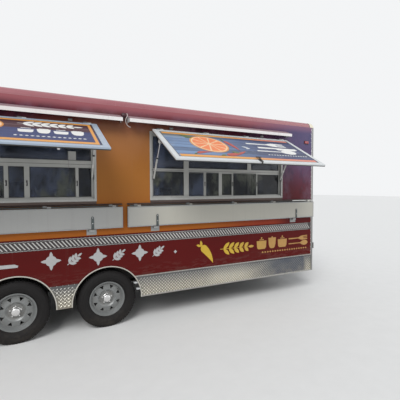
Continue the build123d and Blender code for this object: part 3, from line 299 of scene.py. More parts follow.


# Painted shade: the aluminium is toned down to a dark grey, as the posts stand in shade.
post_metal = bare_metal(
    "post_aluminium", (0.215, 0.215, 0.212), (0.15, 0.148, 0.142), 0.34, (1, 1, 0.05), 0.35)
coat(post_metal, "corner_posts")
place = begin("cap_cream")[0]
chalk = place.cloud(14.0, 5.0, 0.6)
chips = place.cloud(60.0, 3.0, 0.6).fade(0.66, 0.7)
tone = chips.mix(chalk.mix((0.62, 0.56, 0.42), (0.74, 0.7, 0.58)), (0.34, 0.3, 0.25))
values = {"Base Color": tone, "Roughness": 0.42 + chalk * 0.15}
cap_finish = end(place, values, chalk - chips, 0.001, 0.3)
coat(cap_finish, "corner_caps")


# Pieces below are drawn as points and faces in the trailer's own place. A sketch gathers
# them, and save() makes the object, lets it ride on its body and gives it its finish.
class Sketch:
    def __init__(self):
        self.points = []
        self.faces = []

    def add(self, points, faces):
        start = len(self.points)
        self.points += [tuple(point) for point in points]
        self.faces += [[start + index for index in face] for face in faces]
        return self

    def block(self, x0, x1, y0, y1, z0, z1):
        points = [(a, b, c) for a in (x0, x1) for b in (y0, y1) for c in (z0, z1)]
        faces = [(0, 1, 3, 2), (4, 6, 7, 5), (0, 4, 5, 1), (2, 3, 7, 6), (0, 2, 6, 4), (1, 5, 7, 3)]
        return self.add(points, faces)

    def prism(self, outline, place):
        """A closed outline of (u, v) between two layers; place(u, v, layer) gives the point"""
        count = len(outline)
        points = [place(u, v, layer) for layer in (0, 1) for u, v in outline]
        sides = [(i, (i + 1) % count, count + (i + 1) % count, count + i) for i in range(count)]
        return self.add(points, [tuple(range(count))[::-1], tuple(range(count, 2 * count)), *sides])

    def ribbon(self, outer, inner, place):
        """A closed band between two outlines of the same number of points"""
        count = len(outer)
        points = [place(u, v, layer) for layer in (0, 1) for u, v in [*outer, *inner]]
        faces = []
        for i in range(count):
            j = (i + 1) % count
            a, b, c, d = i, j, count + j, count + i
            up = 2 * count
            faces += [(d, c, b, a), (a + up, b + up, c + up, d + up)]
            faces += [(a, b, b + up, a + up), (c, d, d + up, c + up)]
        return self.add(points, faces)

    def tube(self, line, radius, sides=10, closed=False):
        """A round bar along points, with flat ends or closed on itself"""
        line = [Vector(point) for point in line]
        count = len(line)
        rings = []
        side = None
        for i, point in enumerate(line):
            before = line[i - 1] if i or closed else point
            after = line[(i + 1) % count] if i < count - 1 or closed else point
            way = (after - before).normalized()
            if side is None:
                side = way.orthogonal().normalized()
            side = (side - way * side.dot(way)).normalized()
            cross = way.cross(side)
            turns = [2 * pi * k / sides for k in range(sides)]
            rings.append([point + (side * cos(t) + cross * sin(t)) * radius for t in turns])
        points = [point for ring in rings for point in ring]
        faces = []
        for i in range(count if closed else count - 1):
            for k in range(sides):
                m = (k + 1) % sides
                j = (i + 1) % count
                faces.append((i * sides + k, i * sides + m, j * sides + m, j * sides + k))
        if not closed:
            last = (count - 1) * sides
            faces += [tuple(range(sides))[::-1], tuple(range(last, last + sides))]
        return self.add(points, faces)

    def turned(self, profile, place, steps=32):
        """A profile of (radius, along) turned round; place(u, v, along) gives the point"""
        points = []
        faces = []
        count = len(profile)
        for i in range(steps):
            t = 2 * pi * i / steps
            points += [place(r * cos(t), r * sin(t), along) for r, along in profile]
            j = (i + 1) % steps
            for k in range(count - 1):
                faces.append((i * count + k, j * count + k, j * count + k + 1, i * count + k + 1))
        return self.add(points, faces)

    def mesh(self, name, bevel=0):
        """The drawn faces as a mesh, with doubles merged and all faces turned outwards"""
        mesh = bpy.data.meshes.new(name)
        mesh.from_pydata(self.points, [], self.faces)
        shell = bmesh.new()
        shell.from_mesh(mesh)
        bmesh.ops.remove_doubles(shell, verts=shell.verts, dist=0.00002)
        bmesh.ops.recalc_face_normals(shell, faces=shell.faces)
        if bevel:
            edges = [e for e in shell.edges if e.is_manifold and e.calc_face_angle(0) > radians(40)]
            bmesh.ops.bevel(
                shell, geom=edges, offset=bevel, segments=1, affect="EDGES", clamp_overlap=True)
        shell.to_mesh(mesh)
        shell.free()
        return mesh

    def save(self, name, body, finish, slot, smooth=0, bevel=0):
        mesh = self.mesh(name, bevel)
        mesh.materials.append(finish)
        return fitted(name, mesh, body, smooth)


def fitted(name, mesh, body, smooth):
    """The finished mesh as a piece on its body, smooth up to an angle where one is given"""
    if smooth:
        mesh.polygons.foreach_set("use_smooth", [True] * len(mesh.polygons))
        mesh.set_sharp_from_angle(angle=radians(smooth))
    piece = bpy.data.objects.new(name, mesh)
    bpy.context.scene.collection.objects.link(piece)
    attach(piece, body)
    return piece


def rectangle(u0, u1, v0, v1, inset=0):
    """Its four corners in turn"""
    u0, u1, v0, v1 = u0 + inset, u1 - inset, v0 + inset, v1 - inset
    return [(u0, v0), (u1, v0), (u1, v1), (u0, v1)]


def between(place, low, high):
    """Two layers of a face whose place(u, v, h) gives the point at the height h above it"""
    return lambda u, v, layer: place(u, v, high if layer else low)


def on_side(sign):
    """The serving side's wall (-1) or the street side's (1), along x and z"""
    return lambda u, v, h: (u, sign * (SIDE + h), v)


# Diamond plate: bright sheet with raised lozenges rolled into it in a woven pattern. It
# makes both skirts, with the wheel arches cut out, and the stone guard on the nose.
PLATE_PROUD = 0.004
PLATE_LOW = 0.32
PITCH = 0.04
LOZENGE = (4, 0.0178, 0.0095, 0.0018)
WHEELS = (MIDDLE - 0.204, MIDDLE - 1.169)
HUB_Z = 0.34
ARCH = 0.399
SIDES = (("serving", -1), ("street", 1))


def plate_painted_shade_and_reflection(place, along, z):
    """Painted shade and reflection: darker towards the top edge, and blue-grey along the last metre
    before the nose as a painted sky reflection
    """
    ahead = along.fade(1.75, 2.4) * (1 - along.fade(2.88, 2.98))
    billow = place.stretched(1, 1, 2).cloud(2.6, 4.0, 0.6)
    return place.maths("MAXIMUM", z.fade(0.4, 0.585) * 0.6, ahead * (0.5 + billow * 0.7))


place, x, y, z = begin("diamond_plate")
along = x - MIDDLE
scuff = place.stretched(1, 1, 3).cloud(26.0, 4.0, 0.65)
# Painted highlight: a lighter cream patch part way along the skirt stands for a bright reflection.
lit = along.fade(1.05, 1.35) * (1 - along.fade(1.65, 2.0)) * 0.8
tone = place.cloud(2.2, 6.0, 0.65).mix((0.165, 0.153, 0.127), (0.24, 0.225, 0.19))
tone = lit.mix(tone, (0.4, 0.375, 0.31))
tone = plate_painted_shade_and_reflection(place, along, z).mix(tone, (0.031, 0.04, 0.062))
splash = (1 - z.fade(0.32, 0.48)) * place.cloud(7.0, 5.0, 0.7).fade(0.34, 0.62)
tone = (splash * 0.6).mix(tone, (0.3, 0.265, 0.205))
values = {"Base Color": tone, "Metallic": 0.35, "Roughness": 0.24 + scuff * 0.2 + splash * 0.3}
plate_metal = end(place, values, scuff, 0.0006, 0.3)
coat(plate_metal, "skirts")
place, x, y, z = begin("diamond_heads")
polish = place.cloud(60.0, 3.0, 0.6)
shine = place.cloud(1.4, 4.0, 0.6)
tone = (polish * 0.5 + shine * 0.5).mix((0.58, 0.55, 0.455), (0.86, 0.82, 0.71))
tone = plate_painted_shade_and_reflection(place, x - MIDDLE, z).mix(tone, (0.086, 0.106, 0.152))
head_metal = end(
    place, {"Base Color": tone, "Metallic": 0.55, "Roughness": 0.24 + polish * 0.12})


def repeat_tree(name, shape, numbers, parts, wires):
    """A node tree that sets a shape on points, makes it real and gives it its finish. The parts
    are named, and each wire goes from a part's socket to another's"""
    tree = bpy.data.node_groups.new(name, "GeometryNodeTree")
    for label, kind in ((shape, "Geometry"), *numbers, ("Finish", "Material")):
        tree.interface.new_socket(label, in_out="INPUT", socket_type="NodeSocket" + kind)
    tree.interface.new_socket("Made", in_out="OUTPUT", socket_type="NodeSocketGeometry")
    parts = {
        **parts, "given": "NodeGroupInput", "set_on": "GeometryNodeInstanceOnPoints",
        "real": "GeometryNodeRealizeInstances", "finish": "GeometryNodeSetMaterial",
        "result": "NodeGroupOutput"}
    nodes = {part: tree.nodes.new(kind) for part, kind in parts.items()}
    wires = (
        *wires, ("set_on", "Instances", "real", "Geometry"),
        ("given", "Finish", "finish", "Material"), ("finish", "Geometry", "result", "Made"))
    for source, given, target, taken in wires:
        tree.links.new(nodes[source].outputs[given], nodes[target].inputs[taken])
    return tree, nodes


HEADS, parts = repeat_tree(
    "heads_on_points", "Points",
    (("Sides", "Int"), ("Foot Radius", "Float"), ("Crown Radius", "Float"), ("Height", "Float")),
    {"head": "GeometryNodeMeshCone", "turn": "GeometryNodeInputNamedAttribute",
     "stretch": "GeometryNodeInputNamedAttribute"},
    (("given", "Sides", "head", "Vertices"), ("given", "Foot Radius", "head", "Radius Bottom"),
     ("given", "Crown Radius", "head", "Radius Top"), ("given", "Height", "head", "Depth"),
     ("given", "Points", "set_on", "Points"), ("head", "Mesh", "set_on", "Instance"),
     ("turn", "Attribute", "set_on", "Rotation"), ("stretch", "Attribute", "set_on", "Scale"),
     ("real", "Geometry", "finish", "Geometry")))
for label in ("turn", "stretch"):
    parts[label].data_type = "FLOAT_VECTOR"
    parts[label].inputs["Name"].default_value = label


def apply_tree(name, mesh, tree, settings, body):
    """Runs a node tree over a mesh and keeps the result as a plain piece on its body"""
    holder = bpy.data.objects.new(name + "_points", mesh)
    bpy.context.scene.collection.objects.link(holder)
    modifier = holder.modifiers.new("repeat", "NODES")
    modifier.node_group = tree
    sockets = {
        item.name: item.identifier for item in tree.interface.items_tree if item.in_out == "INPUT"}
    for key, value in settings.items():
        modifier[sockets[key]] = value
    bpy.context.view_layer.update()
    shape = holder.evaluated_get(bpy.context.evaluated_depsgraph_get())
    made = bpy.data.meshes.new_from_object(shape)
    made.name = name
    bpy.data.objects.remove(holder)
    return fitted(name, made, body, 0)


def spots_at(points, way, spin=0, stretch=(1.0, 1.0, 1.0)):
    """Places for heads that all face one way"""
    return [(point, way, spin, stretch) for point in points]


def heads(name, body, spots, sides, foot, crown, height, finish, slot):
    """Round or many-sided heads; spots are (point, outward way, spin, stretch)"""
    mesh = bpy.data.meshes.new(name + "_points")
    mesh.from_pydata([spot[0] for spot in spots], [], [])
    turns = []
    stretches = []
    for point, way, spin, stretch in spots:
        turned = Vector(way).to_track_quat("Z", "Y") @ Quaternion((0, 0, 1), spin)
        turns += turned.to_euler()
        stretches += stretch
    for label, numbers in (("turn", turns), ("stretch", stretches)):
        mesh.attributes.new(label, "FLOAT_VECTOR", "POINT").data.foreach_set("vector", numbers)
    settings = {
        "Sides": sides, "Foot Radius": foot, "Crown Radius": crown, "Height": height,
        "Finish": finish}
    return apply_tree(name, mesh, HEADS, settings, body)


def plate_spots(u0, u1, z0, z1, place, way, cut):
    """Lozenges in rows that lean left and right by turns, kept clear of the edges and arches"""
    spots = []
    for row in range(1, int((z1 - z0) / (PITCH / 2))):
        lean = pi / 4 if row % 2 else -pi / 4
        for column in range(1, int((u1 - u0) / (PITCH / 2))):
            u = u0 + column * PITCH / 2
            v = z0 + row * PITCH / 2
            if (row + column) % 2 == 0 and not cut(u, v):
                spots += spots_at([place(u, v)], way, lean, (1.0, 0.32, 1.0))
    return spots


def in_arch(u, v):
    return any(hypot(u - hub, v - HUB_Z) < ARCH + 0.016 for hub in WHEELS)


for side_name, sign in SIDES:
    on_wall = on_side(sign)
    spots = plate_spots(
        MIDDLE - STRAIGHT + 0.006, MIDDLE + STRAIGHT - 0.006, PLATE_LOW + 0.006, SILL - 0.012,
        lambda u, v: on_wall(u, v, PLATE_PROUD - 0.0002), (0, sign, 0), in_arch)
    heads("plate_pattern_" + side_name, "trailer", spots, *LOZENGE, head_metal, "tread_plate")
spots = plate_spots(
    -1.13, 1.13, 0.59, 1.17,
    lambda u, v: (NOSE + 0.0038, u, v), (1, 0, 0), lambda u, v: False)
heads("plate_pattern_nose", "trailer", spots, *LOZENGE, head_metal, "tread_plate")


# Edge trims: a rolled cream bead rounds each wheel arch, an aluminium strip covers the skirt's
# top edge, and small round rivets hold both, the posts and the wall joints.
def mottled(name, tone, other, cloud, rough, depth, strength):
    """Two tones in soft patches; rough is its least value and what the patches add to it"""
    place = begin(name)[0]
    patches = place.cloud(*cloud)
    shine = rough[0] + patches * rough[1] if rough[1] else rough[0]
    values = {"Base Color": patches.mix(tone, other), "Roughness": shine}
    return end(place, values, patches, depth, strength)


bead_finish = mottled(
    "arch_bead_cream", (0.4, 0.38, 0.33), (0.52, 0.5, 0.45), (20.0, 5.0, 0.6), (0.38, 0.2),
    0.0008, 0.3)
rivet_metal = bare_metal("rivet_aluminium", (0.62, 0.62, 0.6), (0.46, 0.45, 0.43), 0.28)
strip_metal = bare_metal(
    "strip_aluminium", (0.36, 0.35, 0.32), (0.26, 0.25, 0.23), 0.3, (0.05, 1, 1), 0.4)
BEAD_STEPS = 64
for side_name, sign in SIDES:
    on_wall = on_side(sign)
    beads = Sketch()
    low = atan2(PLATE_LOW - HUB_Z + 0.004, ARCH)
    for hub in WHEELS:
        turns = [low + (pi - 2 * low) * i / BEAD_STEPS for i in range(BEAD_STEPS + 1)]
        reach = ARCH + 0.004
        beads.tube([on_wall(hub + reach * cos(t), HUB_Z + reach * sin(t), PLATE_PROUD + 0.003)
                    for t in turns], 0.007, 10)
    beads.save("arch_beads_" + side_name, "trailer", bead_finish, "gutter_paint", 40)
    strips = Sketch()
    for low, high in ((SILL - 0.006, SILL + 0.008), (PLATE_LOW + 0.001, PLATE_LOW + 0.02)):
        rise = max(abs(low - HUB_Z), abs(high - HUB_Z)) if low > HUB_Z else 0
        gap = ((ARCH + 0.012) ** 2 - rise ** 2) ** 0.5
        face = sorted((sign * (SIDE + PLATE_PROUD), sign * (SIDE + PLATE_PROUD + 0.0035)))
        strips.block(MIDDLE - STRAIGHT, WHEELS[1] - gap, *face, low, high)
        strips.block(WHEELS[0] + gap, MIDDLE + STRAIGHT, *face, low, high)
    strips.save(
        "skirt_strips_" + side_name, "trailer", strip_metal, "trim_aluminium", 30, 0.001)

spots = []
for sign in (-1, 1):
    on_wall = on_side(sign)
    skirt = [MIDDLE - 3.02 + k * 0.061 for k in range(100)]
    points = [on_wall(u, SILL - 0.001, PLATE_PROUD + 0.0034)
              for u in skirt if all(abs(u - hub) > 0.33 for hub in WHEELS)]
    points += [on_wall(u, PLATE_LOW + 0.011, PLATE_PROUD + 0.0034)
               for u in skirt[::2] if all(abs(u - hub) > 0.43 for hub in WHEELS)]
    points += [on_wall(MIDDLE + end_x * (STRAIGHT - 0.012), 0.64 + k * 0.068, 0)
               for end_x in (-1, 1) for k in range(30)]
    spots += spots_at(points, (0, sign, 0))
for end_x, way in ((NOSE, 1), (TAIL, -1)):
    points = [(end_x, y_at, 0.64 + k * 0.068) for y_at in (-1.128, 1.128) for k in range(30)]
    spots += spots_at(points, (way, 0, 0))
heads("body_rivets", "trailer", spots, 8, 0.0048, 0.003, 0.0022, rivet_metal, "trim_aluminium")


# Rope stripe: a dark decal band along both sides with slanting light dashes between two thin
# wavy lines, like a braided border.
STRIPE_LOW = 0.998
STRIPE_HIGH = 1.111
DASH_PITCH = 0.0417
stripe_dark = mottled(
    "stripe_dark", (0.016, 0.011, 0.013), (0.045, 0.034, 0.035), (40.0, 3.0, 0.6), (0.34, 0.2),
    0.0004, 0.2)
stripe_light = mottled(
    "stripe_light", (0.44, 0.43, 0.41), (0.62, 0.61, 0.58), (55.0, 4.0, 0.65), (0.36, 0.2),
    0.0004, 0.2)
ROWS = repeat_tree(
    "row_of_shapes", "Shape", (("Count", "Int"), ("Pitch", "Float")),
    {"step": "ShaderNodeCombineXYZ", "line": "GeometryNodeMeshLine"},
    (("given", "Pitch", "step", "X"), ("given", "Count", "line", "Count"),
     ("step", "Vector", "line", "Offset"), ("line", "Mesh", "set_on", "Points"),
     ("given", "Shape", "set_on", "Instance"), ("real", "Geometry", "finish", "Geometry")))[0]
DASH_LOW, DASH_HIGH = STRIPE_LOW + 0.02, STRIPE_HIGH - 0.02
DASH_LEAN = 0.06
DASH_WIDE = 0.0145
WAVE_STEPS = 8
WAVE_HALF_WIDE = 0.0018
for side_name, sign in SIDES:
    face = sorted((sign * (SIDE - 0.001), sign * (SIDE + 0.0006)))
    band = Sketch().block(
        MIDDLE - STRAIGHT + 0.004, MIDDLE + STRAIGHT - 0.004, *face, STRIPE_LOW, STRIPE_HIGH)
    band.save("stripe_band_" + side_name, "trailer", stripe_dark, "body_paint")
    start = MIDDLE - STRAIGHT + 0.02
    first = start + DASH_LEAN / 2 + 0.002
    slant = -sign * DASH_LEAN / 2
    outlines = [[(first - slant, DASH_HIGH), (first - slant + DASH_WIDE, DASH_HIGH),
                 (first + slant + DASH_WIDE, DASH_LOW), (first + slant, DASH_LOW)]]
    wave = [(start + DASH_PITCH * k / WAVE_STEPS, 0.002 * sin(2 * pi * k / WAVE_STEPS))
            for k in range(WAVE_STEPS + 1)]
    for middle in (STRIPE_LOW + 0.008, STRIPE_HIGH - 0.008):
        outlines.append([(u, middle + v + WAVE_HALF_WIDE) for u, v in wave]
                        + [(u, middle + v - WAVE_HALF_WIDE) for u, v in wave[::-1]])
    pattern = Sketch()
    for outline in outlines:
        pattern.prism(outline, between(on_side(sign), 0, 0.0012))
    count = int((2 * STRAIGHT - 0.1015) / DASH_PITCH) + 1
    settings = {"Count": count, "Pitch": DASH_PITCH, "Finish": stripe_light}
    apply_tree("stripe_dashes_" + side_name, pattern.mesh("stripe_pitch"), ROWS, settings,
               "trailer")


# Wheels: silver-painted steel rims with eight vent holes, five chromed nuts, a bright grease
# cap and a valve. Each turns with its hub.
WHEEL_SIDE = 1.0875
NUT_CIRCLE = 0.057
place, x, y, z = begin("rim_silver")
side = place.maths("ABSOLUTE", y)
film = place.cloud(9.0, 5.0, 0.65)
# Painted shade: the silver is toned down to a mid grey, as the rims sit in shade under the arches.
tone = film.mix((0.165, 0.172, 0.17), (0.235, 0.242, 0.24))
soot = (1 - side.fade(1.095, 1.135)) * place.cloud(16.0, 5.0, 0.7).fade(0.3, 0.65)
tone = (soot * 0.7).mix(tone, (0.13, 0.11, 0.09))
specks = place.cloud(120.0, 2.0, 0.6).fade(0.7, 0.74)
tone = specks.mix(tone, (0.2, 0.17, 0.13))
values = {"Base Color": tone, "Metallic": 0.35, "Roughness": 0.3 + film * 0.18 + soot * 0.25}
rim_paint = end(place, values, film + specks, 0.0006, 0.25)
nut_chrome = bare_metal("nut_chrome", (0.74, 0.74, 0.74), (0.52, 0.5, 0.47), 0.14)
valve_rubber = mottled(
    "valve_rubber", (0.016, 0.016, 0.016), (0.05, 0.048, 0.045), (80.0, 3.0, 0.6), (0.6, 0),
    0.0004, 0.3)


# Tyres: radial carcass with a bulged sidewall, fine ribs and five rows of tread blocks. The
# plain tyre solids stay for weight and contact, and these stand in for them.
place, x, y, z = begin("tyre_rubber")
dust = place.cloud(11.0, 6.0, 0.65)
# Painted shade: the rubber is darker than plain black rubber, as the tyres sit in shade under the
# arches.
tone = dust.mix((0.0045, 0.004, 0.0042), (0.011, 0.0095, 0.0092))
road = (1 - z.fade(0.02, 0.3)) * place.cloud(18.0, 5.0, 0.7).fade(0.35, 0.7)
tone = (road * 0.35).mix(tone, (0.06, 0.05, 0.04))
scuffs = place.cloud(70.0, 4.0, 0.7).fade(0.62, 0.74)
tone = (scuffs * 0.25).mix(tone, (0.045, 0.042, 0.038))
values = {
    "Base Color": tone, "Roughness": 0.56 + dust * 0.22 + road * 0.1, "Specular IOR Level": 0.25}
tyre_rubber = end(place, values, place.cloud(140.0, 4.0, 0.6), 0.0006, 0.35)

TYRE_HALF_PROFILE = (
    (0.195, 0.069), (0.2055, 0.07), (0.211, 0.0755), (0.216, 0.079), (0.218, 0.0815),
    (0.226, 0.088), (0.2285, 0.0915), (0.231, 0.0917), (0.233, 0.0925), (0.248, 0.0985),
    (0.262, 0.1017), (0.276, 0.1019), (0.278, 0.1008), (0.283, 0.1006), (0.285, 0.1014),
    (0.298, 0.099), (0.311, 0.0948), (0.313, 0.0933), (0.315, 0.093), (0.323, 0.089),
    (0.33, 0.084), (0.3345, 0.076), (0.3352, 0.066))
TREAD_ROWS = (
    (-0.07, 0.024, 0.3405, 0.008), (-0.0362, 0.025, 0.3428, -0.006),
    (0, 0.023, 0.3434, 0.005), (0.0362, 0.025, 0.3428, -0.006), (0.07, 0.024, 0.3405, 0.008))
TREAD_COUNT = 66
BLOCK_HALF_LONG = 0.0132
RINGS, parts = repeat_tree(
    "ring_repeat", "Shape", (("Count", "Int"), ("Step", "Float"), ("Hub", "Vector")),
    {"line": "GeometryNodeMeshLine", "number": "GeometryNodeInputIndex", "angle": "ShaderNodeMath",
     "turn": "ShaderNodeCombineXYZ", "move": "GeometryNodeTransform"},
    (("given", "Count", "line", "Count"), ("number", 0, "angle", 0), ("given", "Step", "angle", 1),
     ("angle", 0, "turn", "Y"), ("line", "Mesh", "set_on", "Points"),
     ("given", "Shape", "set_on", "Instance"), ("turn", "Vector", "set_on", "Rotation"),
     ("real", "Geometry", "move", "Geometry"), ("given", "Hub", "move", "Translation"),
     ("move", "Geometry", "finish", "Geometry")))
parts["angle"].operation = "MULTIPLY"
parts["line"].inputs["Offset"].default_value = (0, 0, 0)


def tread_pitch():
    """One pitch of the tread at the tyre's top: five tapered blocks across and two shoulder lugs"""
    sketch = Sketch()
    for across, wide, crown, skew in TREAD_ROWS:
        points = []
        for r, shrink in ((0.3335, 1.0), (crown, 0.88)):
            for s, t in ((-1, -1), (1, -1), (1, 1), (-1, 1)):
                long = s * BLOCK_HALF_LONG * shrink + t * skew
                points.append((long, across + t * wide / 2 * shrink, r))
        faces = [(3, 2, 1, 0), (4, 5, 6, 7), (0, 1, 5, 4), (1, 2, 6, 5), (2, 3, 7, 6), (3, 0, 4, 7)]
        sketch.add(points, faces)
    for sign in (-1, 1):
        points = [(s * 0.01, sign * (depth + more), r)
                  for r, depth in ((0.317, 0.092), (0.3345, 0.0815))
                  for s in (-1, 1) for more in (-0.006, 0.0012)]
        faces = [(0, 1, 3, 2), (4, 6, 7, 5), (0, 4, 5, 1), (2, 3, 7, 6), (1, 5, 7, 3), (0, 2, 6, 4)]
        sketch.add(points, faces)
    return sketch.mesh("tread_pitch")


for axle_name, hub_x in zip(("front", "rear"), WHEELS):
    for side_name, sign in SIDES:
        name = axle_name + "_" + side_name
        body = "wheel_" + name
        hub = (hub_x, sign * WHEEL_SIDE, HUB_Z)
        coat(rim_paint, "rim_" + name)

        def wheel_place(u, v, along):
            return (hub[0] + u, hub[1] + sign * along, hub[2] + v)

        outer = list(TYRE_HALF_PROFILE)
        inner = [(r, -a) for r, a in reversed(outer)]
        profile = outer + [(0.3358, 0.02), (0.336, 0.0), (0.3358, -0.02)] + inner + [outer[0]]
        tyre = Sketch().turned(profile, wheel_place, 72)
        carcass = tyre.save("tyre_body_" + name, body, tyre_rubber, "tyre_rubber", 32)
        settings = {
            "Count": TREAD_COUNT, "Step": 2 * pi / TREAD_COUNT, "Hub": hub, "Finish": tyre_rubber}
        apply_tree("tyre_tread_" + name, tread_pitch(), RINGS, settings, body)
        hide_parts("tyre_" + name)

        nuts = []
        for t in (pi / 2 + 2 * pi * k / 5 for k in range(5)):
            nut = wheel_place(NUT_CIRCLE * cos(t), NUT_CIRCLE * sin(t), 0.0238)
            nuts += spots_at([nut], (0, sign, 0), t)
        heads("wheel_nuts_" + name, body, nuts, 6, 0.0115, 0.0085, 0.019, nut_chrome, "plain_steel")
        cap = Sketch().turned(
            [(0.0435, 0.02), (0.0435, 0.06), (0.042, 0.0655), (0.038, 0.069),
             (0.03, 0.0712), (0.012, 0.0725), (0.0, 0.0728)], wheel_place, 36)
        cap.turned(
            [(0.0455, 0.0225), (0.0475, 0.024), (0.0475, 0.03), (0.045, 0.032)],
            wheel_place, 36)
        cap.save("grease_cap_" + name, body, nut_chrome, "plain_steel", 40)
        stem = [wheel_place(*point) for point in (
            (0.128, 0.096, 0.03), (0.13, 0.097, 0.046), (0.128, 0.095, 0.062))]
        Sketch().tube(stem, 0.0042, 8).save(
            "valve_" + name, body, valve_rubber, "tyre_rubber", 40)


# Windows: white-grey aluminium liners and sashes, with black rubber round every pane, screws in
# the flange and small catches on the sliding sashes.
BAYS = (("front", MIDDLE + 1.388, 60.5), ("rear", MIDDLE - 1.388, 65.5))
FRONT_BAY, REAR_BAY = BAYS[0][1], BAYS[1][1]
WINDOW_HALF = 1.05
WINDOW_LOW = 1.539
WINDOW_HIGH = 2.367
TRACK_HALF = 1.036
SASH_BACK = -1.1895
FLANGE_FACE = -SIDE - 0.005
STILES = [FRONT_BAY + at for at in (-0.274, 0.173, 0.6)]
STILES += [REAR_BAY + at for at in (-0.492, 0.162, 0.353, 0.858)]
TRANSOMS = (
    (-2.428, -0.348, 1.908, 1.988), (0.348, 0.8, 1.89, 1.926), (0.872, 2.428, 1.876, 1.938))
frame_metal = bare_metal(
    "sash_aluminium", (0.4, 0.4, 0.38), (0.3, 0.3, 0.285), 0.36, (1, 1, 1), 0.25)
coat(frame_metal, "window_frames")
place, x, y, z = begin("window_glass")
smear = place.stretched(1, 1, 0.6).cloud(3.0, 5.0, 0.65)
tone = smear.fade(0.4, 0.72).mix((0.005, 0.007, 0.011), (0.024, 0.032, 0.05))
# Painted reflections: glint is painted sky reflection, and the leafy marks are painted foliage
# reflected in the lower panes.
glint = place.stretched(1.6, 1, 0.8).cloud(2.1, 6.0, 0.6).fade(0.5, 0.66)
tone = (glint * 0.8).mix(tone, (0.078, 0.1, 0.165))
leafy_reflection = place.stretched(1, 1, 0.5).cloud(4.6, 7.0, 0.72).fade(0.52, 0.61)
tone = (leafy_reflection * (1 - z.fade(1.86, 1.92)) * 0.75).mix(tone, (0.11, 0.12, 0.092))
haze = place.cloud(30.0, 4.0, 0.6).fade(0.55, 0.8)
tone = (haze * 0.5).mix(tone, (0.09, 0.095, 0.1))
# Painted reflection: the band behind the transom is lightened as the open hatch's underside
# reflected there.
behind_transom = z.fade(1.92, 1.97) * (1 - z.fade(2.0, 2.1))
tone = (behind_transom * 0.5).mix(tone, (0.14, 0.155, 0.2))
pane_glass = end(place, {
    "Base Color": tone, "Roughness": 0.03 + haze * 0.1, "Alpha": 0.5 + smear * 0.16,
    "Specular IOR Level": 0.32})
coat(pane_glass, "window_glass")
gasket = mottled(
    "gasket_rubber", (0.014, 0.014, 0.015), (0.045, 0.043, 0.041), (60.0, 3.0, 0.6), (0.5, 0.2),
    0.0004, 0.3)


def parts_of(node):
    """The box of each separate solid of a CAD node, as (x0, x1, y0, y1, z0, z1)"""
    shell = bmesh.new()
    shell.from_mesh(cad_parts[node].data)
    bmesh.ops.remove_doubles(shell, verts=shell.verts, dist=0.0001)
    left = set(shell.verts)
    boxes = []
    while left:
        grown = [left.pop()]
        island = []
        while grown:
            vert = grown.pop()
            island.append(vert.co.copy())
            for edge in vert.link_edges:
                other = edge.other_vert(vert)
                if other in left:
                    left.remove(other)
                    grown.append(other)
        boxes.append([pick(co[axis] for co in island) for axis in range(3) for pick in (min, max)])
    shell.free()
    return sorted(boxes)


panes = parts_of("window_glass")
rubbers = Sketch()
for x0, x1, y0, y1, z0, z1 in panes:
    outer, inner = rectangle(x0, x1, z0, z1, 0.0005), rectangle(x0, x1, z0, z1, 0.0055)
    for back, front in ((y0 + 0.0005, y0 - 0.0035), (y1 - 0.0005, y1 + 0.0035)):
        rubbers.ribbon(outer, inner, lambda u, v, layer: (u, front if layer else back, v))
rubbers.save("pane_gaskets", "trailer", gasket, "trim_aluminium", 30)

points = []
tracks = Sketch()
for name, centre, opening in BAYS:
    points += [(centre - 0.98 + k * 0.14, FLANGE_FACE, z_at)
               for k in range(15) for z_at in (WINDOW_LOW - 0.008, WINDOW_HIGH + 0.008)]
    points += [(centre + side * (WINDOW_HALF + 0.008), FLANGE_FACE, WINDOW_LOW + 0.06 + k * 0.142)
               for k in range(6) for side in (-1, 1)]
    x0, x1 = centre - TRACK_HALF, centre + TRACK_HALF
    tracks.block(x0, x1, -1.2175, -1.192, WINDOW_LOW + 0.0105, WINDOW_LOW + 0.0165)
    for y_at in (-1.2155, -1.2065, -1.1975):
        tracks.block(x0, x1, y_at, y_at + 0.0018, WINDOW_LOW + 0.016, WINDOW_LOW + 0.026)
heads("flange_screws", "trailer", spots_at(points, (0, -1, 0)), 8, 0.0038, 0.0026, 0.0016,
      rivet_metal, "trim_aluminium")

catches = Sketch()
pulls = Sketch()
PULL = ((-1.198, 1.712), (-1.206, 1.718), (-1.206, 1.742), (-1.198, 1.748))
for stile in STILES:
    catches.block(stile - 0.008, stile + 0.008, -1.1965, SASH_BACK, 1.7, 1.76)
    pulls.tube([(stile - 0.006, y_at, z_at) for y_at, z_at in PULL], 0.0022, 6)
    for edge in (stile - 0.0105, stile + 0.008):
        tracks.block(edge, edge + 0.0025, -1.1935, SASH_BACK, 1.56, 1.892)
ledges = Sketch()
grooves = Sketch()
for first, last, low, high in TRANSOMS:
    x0, x1 = MIDDLE + first, MIDDLE + last
    ledges.block(x0, x1, -1.195, SASH_BACK, high - 0.01, high)
    ledges.block(x0, x1, -1.1935, SASH_BACK, low, low + 0.008)
    middle = (low + high) / 2
    grooves.block(x0, x1, -1.1912, SASH_BACK, middle - 0.004, middle - 0.0005)
ledges.save("transom_ledges", "trailer", frame_metal, "trim_aluminium", 30, 0.0006)
grooves.save("transom_seals", "trailer", gasket, "trim_aluminium", 30)
sliding = Sketch()
for first, last in ((-0.514, -0.296), (-0.252, -0.056), (0.188, 0.585)):
    sliding.block(FRONT_BAY + first, FRONT_BAY + last, -1.195, -1.1915, 1.5553, 1.888)
sliding.save("sliding_panes", "trailer", pane_glass, "window_glass", 30, 0.0006)
tracks.save("sash_tracks", "trailer", frame_metal, "trim_aluminium", 30, 0.0004)
catches.save("sash_catches", "trailer", gasket, "trim_aluminium", 30, 0.0015)
pulls.save("sash_pulls", "trailer", nut_chrome, "plain_steel", 50)


